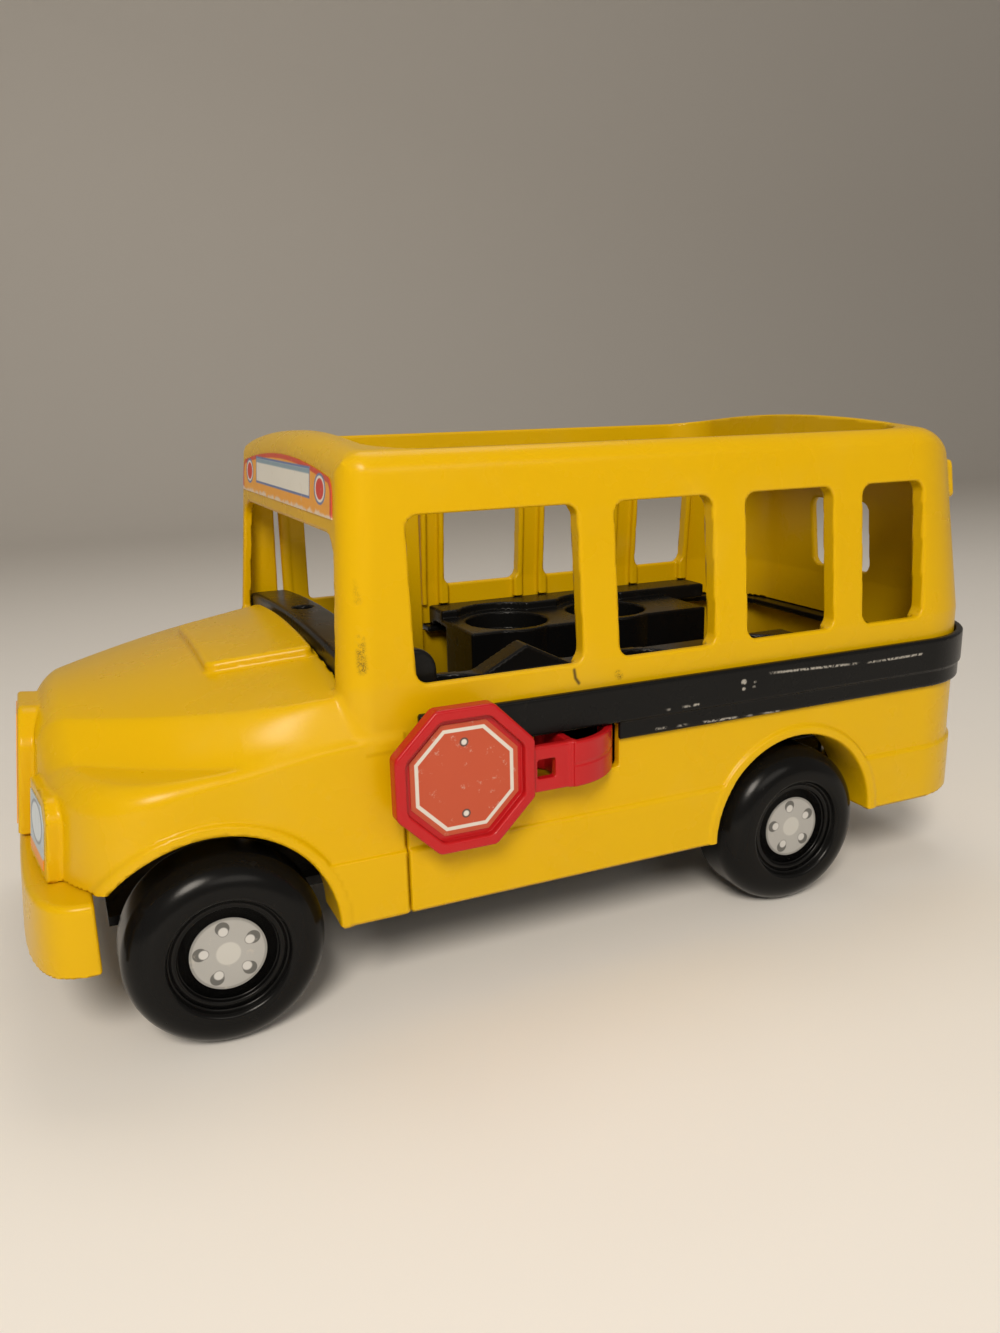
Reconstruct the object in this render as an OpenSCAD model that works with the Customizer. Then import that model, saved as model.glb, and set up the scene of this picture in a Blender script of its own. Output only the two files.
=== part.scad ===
// Toy school bus with an open roof, a swinging stop sign arm, a hinged entry door and free wheels.
// X runs from the nose to the tail, the sign side faces -Y, Z is up and the wheels stand on Z = 0.

/* [Wheels] */
// Distance between the front and the rear axle
wheelbase = 200; // [192:1:212]
// Outer diameter of a wheel
wheel_d = 58; // [54:1:62]
// Width of a wheel
wheel_w = 22; // [18:1:24]
// Diameter of the steel axles
axle_d = 4; // [3:0.5:5]
// Diameter of the silver hub discs
hub_disc_d = 22; // [18:1:24]

/* [Body] */
// Width over the side walls
body_w = 160.8; // [152:0.2:170]
// Wall thickness of the yellow mouldings
wall = 3.2; // [2.6:0.1:3.8]
// Front axle to the top edge of the nose
nose_reach = 43; // [41:1:48]
// Front axle to the foot of the windscreen wall
cab_setback = 37.9; // [36:0.1:42]
// Length of the cab from the windscreen wall to the rear wall
cab_length = 252.1; // [246:0.1:266]
// Height of the skirt's lower edge above the axles
skirt_up = 1.5; // [0:0.5:5]
// Height of the top of the proud skirt band above the axles
step_up = 22; // [20:0.5:25]
// Height of the belt rail's top edge above the axles
belt_up = 63.7; // [61:0.1:66]
// Height of the roof rails above the axles
roof_up = 138.7; // [132:0.1:150]
// Rise of the roof's crown at the centre line
roof_crown = 4.1; // [2:0.1:6]

/* [Windows] */
// Height of the window sills above the axles
sill_up = 71.8; // [70:0.1:76]
// Height of the side windows
window_h = 48.5; // [42:0.5:52]
// Length of the first side window
first_window_w = 54.9; // [48:0.1:56]
// Length of the second and third side windows
middle_window_w = 36.2; // [30:0.1:38]
// Length of the last side window
last_window_w = 27.5; // [22:0.5:30]
// Width of the pillars between side windows
pillar_w = 13; // [11:0.5:15]

/* [Stop sign] */
// Size of the octagon across its flats
sign_size = 43.8; // [38:0.2:46]
// Thickness of the octagonal tray
sign_t = 5.5; // [4.5:0.1:6.5]
// Outer radius of the drum that slides into the body
drum_r = 22.5; // [21:0.1:23]
// Height of the drum and of the neck
drum_h = 14.5; // [12:0.1:14.5]
// Diameter of the sign's hinge pin
sign_pin_d = 3; // [2:0.1:3.6]

/* [Seats] */
// Diameter of the cups that hold the figures
cup_d = 35.2; // [33:0.1:36]
// Depth of the cups
cup_depth = 9; // [7:0.5:10]
// Distance between two cups in a row
cup_pitch = 48.5; // [46:0.5:52]
// Height of the benches above the axles
bench_up = 59.5; // [57.5:0.5:60]
// Height of the tray's floor above the axles
floor_up = 26; // [24:0.5:30]

/* [Entry door] */
// Width of the doorway
doorway_w = 63; // [60:0.5:66]
// Thickness of the door panel
door_t = 3.2; // [2.6:0.1:3.6]
// Diameter of the door's hinge pin
door_pin_d = 2.5; // [2:0.1:2.8]

/* [Hidden] */

// Smoothness
round_fn = 64;
window_fn = 20;
edge_steps = 6;
crown_steps = 5;
front_steps = 5;
rear_steps = 10;
hood_rows = 16;
nose_cells = 4;
hood_cells = [5, 5, 2, 3, 1];
plan_steps = 48;

// Clearances
overrun = 1;
seat_gap = 0.3;
part_gap = 0.4;
bore_gap = 0.05;
label_t = 0.3;

// Levels above the ground
axle_z = wheel_d / 2;
skirt_z = axle_z + skirt_up;
step_z = axle_z + step_up;
belt_top_z = axle_z + belt_up;
sill_z = axle_z + sill_up;
window_top_z = sill_z + window_h;
roof_z = axle_z + roof_up;
floor_z = axle_z + floor_up;
bench_z = axle_z + bench_up;

// Main stations along the bus
front_x = -wheelbase / 2;
rear_x = wheelbase / 2;
nose_x = front_x - nose_reach;
cab_x = front_x + cab_setback;
tail_x = cab_x + cab_length;
seam_back = 16.1;
seam_x = cab_x + seam_back;

// Half widths
body_half = body_w / 2;
upper_set_in = 0.55;
upper_half = body_half - upper_set_in;
inner_half = upper_half - wall;
lower_inner_half = body_half - wall;
tray_half = inner_half - part_gap;
wheel_out = 1.45;
wheel_y = body_half + wheel_out;

// Cab shell
tumble_share = 0.088;
front_lean_share = 0.075;
rear_lean_share = -0.105;
edge_r = 6.5;
front_corner_r = 9;
front_roof_r = 6.2;
rear_corner_r = 33;
rear_roof_r = 26;
rail_w = 5.6;
opening_r = 16;
opening_front_set = 16;
opening_rear_set = 36;
opening_lip_h = 8;
opening_lip_t = 2.2;
rib_t = 2.5;
rib_d = 3;
frame_d = 10;

// Windows
first_post_w = 21.9;
last_post_w = 36.4;
window_r = 4;
windscreen_r = 8;
windscreen_foot_drop = 6;
windscreen_head_drop = 5.3;
windscreen_margin = 10;
rear_window_half = 17.3;
rear_window_low_up = 4.2;
rear_window_high_up = 34.2;
window_x = cab_x + first_post_w;
glass_l = cab_length - first_post_w - last_post_w - 3 * pillar_w;
fit_share = glass_l / (first_window_w + 2 * middle_window_w + last_window_w);
first_l = fit_share * first_window_w;
middle_l = fit_share * middle_window_w;
last_l = fit_share * last_window_w;
windows = [
    [window_x, first_l],
    [window_x + first_l + pillar_w, middle_l],
    [window_x + first_l + middle_l + 2 * pillar_w, middle_l],
    [window_x + first_l + 2 * middle_l + 3 * pillar_w, last_l]];
door_rear_x = seam_x + fit_share * doorway_w;
door_corner_r = 2;
door_head_z = window_top_z + part_gap + part_gap;

// Lamp pods on the rear roof corners
pod_out = 2.4;
pod_inner_set = 34.4;
pod_outer_set = 16.4;
pod_low_up = 40.2;
pod_high_up = 54.2;

// Hood and fenders
nose_depth = 38;
nose_power_share = 2.8;
plan_core_share = 0.05;
rake_share = 0.116;
hood_front_half = 25.2;
hood_rear_set = 5.4;
hood_flare_share = 0.8;
hood_edge_front_drop = 9.3;
hood_edge_rear_drop = 1.9;
hood_crown_front_drop = 6.5;
hood_crown_rear_rise = 4.7;
ridge_front_drop = 20.3;
ridge_rear_drop = 16;
ridge_flare = 2.7;
ridge_flare_share = 0.85;
shelf_rise = 3;
blend_w = 15;
blend_share = 0.8;
nose_round_r = 9;
ridge_round_r = 6;
nose_lead = 14;
band_out = 1;
pad_h = 3.3;
pad_front_half = 31;
pad_rear_half = 38;
pad_round_r = 2;
pad_front_set = 52;
pad_rear_set = 80;
grille_half = 20.5;
grille_out = 4.5;
grille_chamfer = 9;
grille_top_drop = 9.8;
headlight_inner_set = 47.4;
headlight_w = 27;
headlight_out = 1.2;
headlight_turn = 8;
headlight_top_drop = 24.8;
headlight_chamfer = 4.4;
plate_margin = 3;
plate_root = 9;
headlight_inner_y = body_half - headlight_inner_set;

// Wheel arches
arch_up = 2;
front_arch_gap = 5.8;
rear_arch_gap = 4.3;
front_arch_shift = -2.3;
rear_arch_shift = -1;
lip_w = 3.8;
lip_out = 1.3;
liner_t = 2.2;
liner_d = 18;

// Front bumper
bumper_reach = 8.8;
bumper_depth = 25;
bumper_power_share = 4.5;
bumper_side_set = 2.4;
bumper_low_up = 2;
bumper_top_up = 23;
bumper_flare = 1.6;
bumper_t = 3;
bumper_shelf = 16;
bumper_round = 2;
bumper_turn = 87;
bumper_top_z = axle_z + bumper_top_up;
bumper_low_z = axle_z + bumper_low_up;

// Belt rail
belt_thin_h = 12.2;
belt_deep_h = 18.1;
belt_gap = 0.3;
belt_t = 2.5;
belt_foot_in = 0.8;
belt_deep_set = 66.2;
flange_drop = 11.7;
flange_t = 2.4;
flange_in = 10;
flange_z = belt_top_z - flange_drop;
flange_top_z = flange_z + flange_t;
lower_top_z = flange_z - seat_gap;
upper_foot_z = flange_top_z + seat_gap;
belt_half = body_half + belt_gap + belt_t;
belt_tail_x = tail_x + belt_gap + belt_t;
belt_r = rear_corner_r + belt_gap + belt_t;
belt_left_x = window_x - overrun;
belt_deep_x = window_x + belt_deep_set;
belt_right_x = door_rear_x + overrun;

// Stop sign arm
sign_axis_set = 45.2;
sign_axis_in = 11.5;
sign_reach = 35.3;
sign_out = 11.6;
sign_rise = 45.1;
sign_rim_w = 3.4;
sign_recess = 2.5;
sign_label_margin = 1.6;
neck_in = 1;
neck_t = 3;
drum_t = 2.6;
drum_seam = 0.2;
drum_drop = 0.8;
neck_slot_w = 6;
neck_slot_h = 6;
neck_slot_gap = 1.4;
barrel_r = 4;
web_t = 2.6;
slot_front = 8;
slot_gap = 0.9;
bracket_half = 7;
bracket_t = 4.5;
bracket_in = 15;
tab_half = 6;
sign_axis_x = window_x + sign_axis_set;
sign_axis_y = -(body_half - sign_axis_in);
sign_face_y = -(body_half + sign_out);
sign_z = axle_z + sign_rise;
drum_top_z = lower_top_z - drum_drop;
drum_z = drum_top_z - drum_h;
bracket_z = drum_z - seat_gap - bracket_t;
slot_x = sign_axis_x + sqrt(pow(drum_r, 2) - pow(sign_axis_in - wall, 2)) + slot_gap;

// Entry door
door_edge_gap = 0.8;
door_axis_set = 4;
door_barrel_r = 2.4;
door_stile_w = 8;
door_rail_w = 9;
door_panel_sink = 0.8;
pin_grip = 4;
door_pin_x = seam_x + door_axis_set;
door_pin_y = upper_half - tumble_share * (door_head_z + pin_grip / 2 - sill_z) - wall / 2;
door_low_z = floor_z + seat_gap;
door_high_z = door_head_z - door_edge_gap;

// Seat tray
tray_t = 3;
floor_clear = 3.85;
floor_tail_gap = 2.5;
aisle_set = 19;
cup_side = 35.4;
cup_ring_w = 4;
cup_step = 1.4;
cup_boss_r = 7.5;
cup_boss_bore_r = 4;
cup_boss_h = 1.2;
first_cup_set = 24;
left_cup_set = 39;
driver_cup_back = 24;
ledge_rise = 3.5;
ledge_w = 17;
bench_tail = 26;
dash_set = 0.4;
dash_w = 15;
dash_up = 77;
dash_h = 20;
dash_crown = 3.5;
dash_margin = 5;
dash_hole_r = 3.6;
dash_hole_y = 12;
dash_hole_depth = 4;
cheek_w = 12;
cheek_rise = 4;
cheek_round_r = 7;
cheek_t = 4;
divider_w = 35;
divider_rise = 9;
divider_t = 10;
well_h = 16;
post_r = 4;
floor_half = wheel_y - wheel_w - floor_clear;
dash_x = cab_x + wall + dash_set;
dash_back_x = dash_x + dash_w;
dash_z = axle_z + dash_up;
ledge_z = bench_z + ledge_rise;
bench_x = door_rear_x + rib_t + overrun;
cup_r = cup_d / 2;
ring_r = cup_r + cup_ring_w;
cup_y = body_half - cup_side;
aisle_half = cup_y - aisle_set;
right_cups = [for (i = [0:1]) [bench_x + first_cup_set + i * cup_pitch, cup_y, bench_z]];
left_bench_x = sign_axis_x + drum_r + tray_t;
left_cups = [for (i = [0:1]) [bench_x + left_cup_set + i * cup_pitch, -cup_y, bench_z]];
driver_cup = [window_x + driver_cup_back, -cup_y, bench_z];
bench_end_x = left_cups[1][0] + bench_tail;
tray_tail_x = tail_x - rear_corner_r - overrun;

// Underside pan
pan_t = 3;
pan_up = 4;
pan_clear = 5.85;
pan_nose_set = 30;
pan_tail_set = 66;
pan_wing_clear = 40;
saddle_w = 10;
saddle_l = 12;
saddle_drop = 5;
screw_r = 1.5;
screw_head_r = 3.2;
screw_head_h = 2.2;
screw_grip = 10;
screw_gap = 0.2;
screw_side = 14;
screw_front_set = 8;
screw_middle_set = 19.5;
screw_tail_set = 10;
pan_half = wheel_y - wheel_w - pan_clear;
screw_y = pan_half - screw_side;
pan_z = axle_z + pan_up;
pan_top_z = pan_z + pan_t;
screw_x = [dash_back_x + screw_front_set, bench_x + screw_middle_set, tray_tail_x - screw_tail_set];

// Wheels
tyre_round_r = 9;
tyre_lip_r = 3;
dish_share = 0.6;
dish_step_share = 0.5;
dish_depth = 2.6;
dish_step = 1.5;
wheel_wall = 3;
hub_r = 6;
axle_blind = 3;
hub_face_y = wheel_y - dish_depth - dish_step;
press = 0.02;

// Labels
header_margin = 1;
header_low_up = 47.9;

// Middle of the whole bus, so that its origin lies under the middle of its box
bumper_x = nose_x - bumper_reach;
mid_x = (bumper_x - bumper_flare + belt_tail_x) / 2;
mid_y = (belt_half + sign_face_y) / 2;

function mix(a, b, t) = a + (b - a) * t;
function clamp01(t) = min(1, max(0, t));
function ease(t) = t * t * (3 - 2 * t);
function round_drop(d, r) = d >= r ? 0 : r - sqrt(r * r - pow(r - max(0, d), 2));

module place() {
    translate([-mid_x, -mid_y, 0]) children();
}

module box(low, high) {
    translate(low) cube(high - low);
}

module both_sides() {
    children();
    mirror([0, 1, 0]) children();
}

// Rod along Y from one place to another
module rod_y(x, z, r, y_low, y_high) {
    translate([x, y_low, z]) rotate([-90, 0, 0]) cylinder(r = r, h = y_high - y_low, $fn = round_fn);
}

// Faces of a body made of closed rings that follow one another towards +X
function ring_faces(rings, size) = [
    for (i = [0:rings - 2], j = [0:size - 1])
        let (a = i * size + j, b = i * size + (j + 1) % size)
            each [[b + size, b, a], [b + size, a, a + size]]];

// Cross-section of the cab, from the right foot over the roof to the left foot
function cab_ring(x, way, turn, plan_r, roof_r, lean, inset, foot_z) =
    let (
        pull_y = (plan_r - inset) * (1 - cos(turn)),
        pull_z = (roof_r - inset) * (1 - cos(turn)),
        ring_x = x + way * (plan_r - inset) * sin(turn),
        shoulder_z = roof_z - edge_r - pull_z,
        centre_y = wall_half(shoulder_z) - edge_r - pull_y,
        r = edge_r - inset,
        side = [for (z = [foot_z, sill_z, shoulder_z]) [wall_half(z) - inset - pull_y, z]],
        corner = [for (i = [1:edge_steps]) let (a = 90 * i / edge_steps)
            [centre_y + r * cos(a), shoulder_z + r * sin(a)]],
        crown = [for (i = [1:crown_steps]) let (s = 1 - i / crown_steps)
            [centre_y * s, shoulder_z + r + roof_crown * (1 - s * s)]],
        right = concat(side, corner, crown),
        left = [for (i = [len(right) - 2:-1:0]) [-right[i][0], right[i][1]]])
    [for (p = concat(right, left)) [ring_x + lean * max(0, p[1] - sill_z), p[0], p[1]]];

function wall_half(z) = upper_half - tumble_share * max(0, z - sill_z);

// Solid of the cab, drawn in by an inset
module cab_solid(inset, foot_z) {
    front = cab_x + front_corner_r;
    rear = tail_x - rear_corner_r;
    rings = concat(
        [for (i = [front_steps:-1:0]) cab_ring(front, -1, 90 * i / front_steps, front_corner_r,
            front_roof_r, front_lean_share, inset, foot_z)],
        [for (i = [0:rear_steps]) cab_ring(rear, 1, 90 * i / rear_steps, rear_corner_r,
            rear_roof_r, rear_lean_share, inset, foot_z)]);
    size = len(rings[0]);
    top = (size - 1) / 2;
    last = (len(rings) - 1) * size;
    caps = [for (j = [0:top - 1]) each [
        [j, j + 1, size - 1 - j],
        [last + size - 1 - j, last + j + 1, last + j]]];
    cap_rest = [for (j = [0:top - 2]) each [
        [j + 1, size - 2 - j, size - 1 - j],
        [last + size - 1 - j, last + size - 2 - j, last + j + 1]]];
    polyhedron([for (ring = rings) each ring], concat(ring_faces(len(rings), size), caps, cap_rest));
}

// Plan curve of the nose: from the right side round the front to the left side
function nose_point(x, half, depth, power, turn) =
    let (s = pow(abs(sin(turn)), 2 / power), c = pow(cos(turn), 2 / power))
    [x + depth * (1 - c), sign(turn) * half * s];

function nose_front(y) =
    let (s = pow(min(1, abs(y) / body_half), nose_power_share))
    nose_x + nose_depth * (1 - pow(1 - s, 1 / nose_power_share));

// Depth of a place inside the nose's plan, measured square to its edge
function plan_depth(x, y) =
    let (
        p = nose_power_share,
        u = max(0, (nose_x + nose_depth - x) / nose_depth),
        v = abs(y) / body_half,
        n = max(plan_core_share, pow(pow(u, p) + pow(v, p), 1 / p)))
    (1 - n) / norm([pow(u / n, p - 1) / nose_depth, pow(v / n, p - 1) / body_half,
        plan_core_share / body_half]);

// Share of the way from the nose to the cab, and the hood's half width there
function hood_share(x) = clamp01((x - nose_x) / (cab_x - nose_x));
function hood_half(x) =
    mix(hood_front_half, body_half - hood_rear_set, min(1, hood_share(x) / hood_flare_share));
function hood_blend(x) = min(blend_w, blend_share * (body_half - hood_half(x)));
function hood_round(x) = mix(nose_round_r, ridge_round_r, clamp01((x - nose_x) / nose_depth));

// Height of the hood and fenders
function hood_height(x, y) =
    let (
        a = abs(y),
        t = hood_share(x),
        half = hood_half(x),
        edge = sill_z - mix(hood_edge_front_drop, hood_edge_rear_drop, t),
        crown = sill_z + mix(-hood_crown_front_drop, hood_crown_rear_rise, t),
        flare = ridge_flare * ease(clamp01((t - ridge_flare_share) / (1 - ridge_flare_share))),
        ridge = sill_z - mix(ridge_front_drop, ridge_rear_drop, t) + flare,
        shelf = ridge + shelf_rise * (1 - clamp01((a - half) / (body_half - half))),
        top = a < half ? mix(crown, edge, pow(a / half, 2))
            : mix(edge, shelf, ease(clamp01((a - half) / hood_blend(x)))))
    top - round_drop(plan_depth(x, y), hood_round(x));

// Places across the hood whose lines follow the hood's edge, the blend and the fender ridge
function hood_knots(x) =
    let (
        valley = hood_half(x) + hood_blend(x),
        side = body_half + part_gap,
        ridge = max(body_half - ridge_round_r, (valley + side) / 2))
    [0, hood_half(x), valley, ridge, side, side + nose_lead];
function hood_across(x) =
    let (
        knots = hood_knots(x),
        half = [for (k = [0:len(hood_cells) - 1], i = [1:hood_cells[k]])
            mix(knots[k], knots[k + 1], i / hood_cells[k])])
    concat([for (i = [len(half) - 1:-1:0]) -half[i]], [0], half);

// Block under the hood surface, lifted by a height
module hood_block(lift, foot_z, end_x) {
    stations = concat([nose_x - nose_lead],
        [for (i = [0:nose_cells - 1]) nose_x + nose_round_r * i / nose_cells],
        [for (i = [0:hood_rows]) mix(nose_x + nose_round_r, end_x, i / hood_rows)]);
    rows = [for (x = stations) [for (y = hood_across(x))
        let (bent_x = x + (nose_front(y) - nose_x) * clamp01((end_x - x) / (end_x - nose_x)))
            [bent_x, y, hood_height(bent_x, y) + lift]]];
    top = [for (line = rows) each line];
    row = len(rows[0]);
    last = len(rows) - 1;
    rim = concat(
        [for (j = [0:row - 1]) j],
        [for (i = [1:last]) i * row + row - 1],
        [for (j = [row - 2:-1:0]) last * row + j],
        [for (i = [last - 1:-1:1]) i * row]);
    foot = [for (k = rim) [top[k][0], top[k][1], foot_z]];
    count = len(top);
    skin = [for (i = [0:last - 1], j = [0:row - 2]) let (a = i * row + j)
        each [[a, a + 1, a + row + 1], [a, a + row + 1, a + row]]];
    sides = [for (k = [0:len(rim) - 1]) let (n = (k + 1) % len(rim))
        [rim[n], rim[k], count + k, count + n]];
    base = [for (k = [len(rim) - 1:-1:0]) count + k];
    polyhedron(concat(top, foot), concat(skin, sides, [base]));
}

// Hood, fenders and nose as one block, drawn in by an inset
module nose_block(inset, lift, foot_z, end_x) {
    rake_z = sill_z - hood_edge_front_drop;
    curve = [for (i = [0:plan_steps])
        nose_point(nose_x + inset, body_half - inset, nose_depth - inset, nose_power_share,
            mix(-90, 90, i / plan_steps))];
    intersection() {
        multmatrix([[1, 0, rake_share, -rake_share * rake_z], [0, 1, 0, 0], [0, 0, 1, 0], [0, 0, 0, 1]])
            translate([0, 0, foot_z])
                linear_extrude(roof_z - foot_z)
                    polygon(concat(curve, [[0, body_half - inset], [0, inset - body_half]]));
        hood_block(lift, foot_z, end_x);
    }
}

// Opening with round corners through a side wall
module side_cut(x, w, low_z, high_z, r, way) {
    hull() {
        for (px = [x + r, x + w - r], pz = [low_z + r, high_z - r]) {
            rod_y(px, pz, r, way > 0 ? inner_half - frame_d : -body_half - frame_d,
                way > 0 ? body_half + frame_d : frame_d - inner_half, $fn = window_fn);
        }
    }
}

// Opening with round corners through the front or the rear wall
module end_cut(x_low, x_high, low_half, high_half, low_z, high_z, r) {
    hull() {
        for (side = [-1, 1], corner = [[low_half, low_z + r], [high_half, high_z - r]]) {
            translate([x_low, side * (corner[0] - r), corner[1]])
                rotate([0, 90, 0]) cylinder(r = r, h = x_high - x_low, $fn = window_fn);
        }
    }
}

// Roof opening, grown by a margin
module roof_cut(margin, low_z) {
    half = wall_half(roof_z) - rail_w + margin;
    x_low = cab_x + opening_front_set - margin;
    x_high = tail_x - opening_rear_set + margin;
    translate([0, 0, low_z])
        linear_extrude(roof_z + roof_crown + overrun - low_z)
            hull() {
                for (x = [x_low + opening_r, x_high - opening_r], side = [-1, 1]) {
                    translate([x, side * (half - opening_r)]) circle(opening_r, $fn = round_fn);
                }
            }
}

// Upright rib on the inside of a side wall, leaning with it
module rib(x, way) {
    shear = way * tumble_share;
    multmatrix([[1, 0, 0, 0], [0, 1, -shear, shear * sill_z], [0, 0, 1, 0], [0, 0, 0, 1]])
        translate([x, way > 0 ? inner_half - rib_d : -inner_half - wall / 2, ledge_z + seat_gap])
            cube([rib_t, rib_d + wall / 2, roof_z - edge_r - ledge_z - seat_gap]);
}

// Cab with its windows and doorway, before the roof is opened
module cab_walls() {
    difference() {
        cab_solid(0, upper_foot_z);
        cab_solid(wall, upper_foot_z - overrun);
        for (i = [0:len(windows) - 1]) {
            side_cut(windows[i][0], windows[i][1], sill_z, window_top_z, window_r, -1);
        }
        for (i = [1:len(windows) - 1]) {
            side_cut(windows[i][0], windows[i][1], sill_z, window_top_z, window_r, 1);
        }
        side_cut(seam_x, door_rear_x - seam_x, upper_foot_z - frame_d, door_head_z, door_corner_r, 1);
        end_cut(cab_x - frame_d, cab_x + frame_d + front_corner_r, upper_half - windscreen_margin,
            wall_half(window_top_z) - windscreen_margin, sill_z - windscreen_foot_drop,
            window_top_z - windscreen_head_drop, windscreen_r);
        end_cut(tail_x - frame_d - wall, tail_x + frame_d, rear_window_half, rear_window_half,
            sill_z + rear_window_low_up, sill_z + rear_window_high_up, window_r);
    }
}

module cab_ribs() {
    for (i = [0:len(windows) - 1]) {
        rib(windows[i][0] - rib_t, -1);
        rib(windows[i][0] + windows[i][1], -1);
    }
    rib(door_rear_x, 1);
    for (i = [1:len(windows) - 1]) {
        rib(windows[i][0] - rib_t, 1);
        rib(windows[i][0] + windows[i][1], 1);
    }
}

// Lamp pods standing proud of the rear roof corners
module lamp_pods() {
    difference() {
        intersection() {
            cab_solid(-pod_out, upper_foot_z);
            both_sides() {
                box([tail_x - rear_corner_r, body_half - pod_inner_set, sill_z + pod_low_up],
                    [tail_x + frame_d, body_half - pod_outer_set, sill_z + pod_high_up]);
            }
        }
        cab_solid(wall / 2, upper_foot_z - overrun);
    }
}

module cab_shell() {
    difference() {
        union() {
            cab_walls();
            cab_ribs();
            intersection() {
                cab_solid(0, upper_foot_z);
                roof_cut(opening_lip_t, roof_z - opening_lip_h);
            }
        }
        roof_cut(0, roof_z - opening_lip_h - overrun);
    }
    lamp_pods();
}

// Flat plate on the nose: an outline in Y and Z, raked with the nose and turned about its inner edge
module nose_plate(inner_y, turn, out, thick, points) {
    rake_z = sill_z - hood_edge_front_drop;
    translate([nose_x, inner_y, rake_z]) rotate([0, atan(rake_share), 0]) rotate([0, 0, -turn])
        translate([-out, 0, 0]) rotate([90, 0, 90])
            translate([-inner_y, -rake_z]) linear_extrude(thick) polygon(points);
}

function grille_points(margin) =
    let (
        half = grille_half - margin,
        low = bumper_top_z + seat_gap + margin,
        high = sill_z - grille_top_drop - margin)
    [[-half, low], [half, low], [half, high - grille_chamfer], [half - grille_chamfer, high],
        [grille_chamfer - half, high], [-half, high - grille_chamfer]];

function headlight_points(margin) =
    let (
        near = headlight_inner_y + margin,
        far = headlight_inner_y + headlight_w - margin,
        low = bumper_top_z + seat_gap + margin,
        high = sill_z - headlight_top_drop - margin)
    [[near, low], [far, low], [far, high - headlight_chamfer], [far - headlight_chamfer, high], [near, high]];

// Rounded lip and inner liner of a wheel arch on the right side
module arch_lip(x, r) {
    translate([x, body_half, axle_z + arch_up]) rotate([-90, 0, 0]) {
        rotate_extrude($fn = round_fn)
            polygon([[r, -wall / 2], [r + lip_w, -wall / 2], [r + lip_w * 2 / 3, lip_out * 3 / 4],
                [r + lip_w / 3, lip_out], [r, lip_out * 3 / 4]]);
        translate([0, 0, -liner_d]) difference() {
            cylinder(r = r + liner_t, h = liner_d - wall / 2, $fn = round_fn);
            translate([0, 0, -overrun]) cylinder(r = r, h = liner_d + 2 * overrun, $fn = round_fn);
        }
    }
}

module arch_hole(x, r) {
    rod_y(x, axle_z + arch_up, r, body_half - liner_d - overrun, body_half + frame_d);
}

module front_clip() {
    arch_x = front_x + front_arch_shift;
    arch_r = axle_z + front_arch_gap;
    pad_front_x = nose_x + pad_front_set;
    pad_rear_x = nose_x + pad_rear_set;
    difference() {
        union() {
            nose_block(0, 0, skirt_z, seam_x);
            both_sides() {
                box([arch_x, body_half - wall / 2, skirt_z], [seam_x, body_half + band_out, step_z]);
                intersection() {
                    rod_y(arch_x, axle_z + arch_up, arch_r + lip_w, lower_inner_half - frame_d, belt_half);
                    nose_block(-lip_out, 0, skirt_z, seam_x);
                }
            }
            nose_plate(0, 0, grille_out, grille_out + plate_root, grille_points(0));
            both_sides() nose_plate(headlight_inner_y, headlight_turn, headlight_out,
                headlight_out + plate_root, headlight_points(0));
            intersection() {
                hood_block(pad_h, skirt_z, seam_x);
                linear_extrude(roof_z) offset(r = pad_round_r)
                    polygon([[pad_front_x, -pad_front_half], [pad_rear_x, -pad_rear_half],
                        [pad_rear_x, pad_rear_half], [pad_front_x, pad_front_half]]);
            }
        }
        difference() {
            nose_block(wall, -wall, skirt_z - overrun, seam_x + frame_d);
            both_sides() rod_y(arch_x, axle_z + arch_up, arch_r + liner_t, body_half - liner_d, belt_half);
        }
        cab_solid(wall, skirt_z);
        both_sides() arch_hole(arch_x, arch_r);
        box([nose_x - 2 * nose_lead, -body_half - frame_d, 0],
            [arch_x, body_half + frame_d, bumper_top_z + seat_gap]);
    }
}

module upper_body() {
    color("gold") place() {
        cab_shell();
        front_clip();
    }
}

// Outline of the tail seen from above: straight sides, round rear corners, open to the front
module tail_outline(half, end_x, r, from_x) {
    translate([from_x, -half]) square([end_x - r - from_x, 2 * half]);
    translate([from_x, r - half]) square([end_x - from_x, 2 * (half - r)]);
    for (side = [-1, 1]) {
        translate([end_x - r, side * (half - r)]) circle(r, $fn = round_fn);
    }
}

// Upright wall round the tail
module tail_wall(half, end_x, r, thick, from_x, low_z, high_z) {
    translate([0, 0, low_z]) linear_extrude(high_z - low_z) difference() {
        tail_outline(half, end_x, r, from_x);
        tail_outline(half - thick, end_x - thick, r - thick, from_x - overrun);
    }
}

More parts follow.
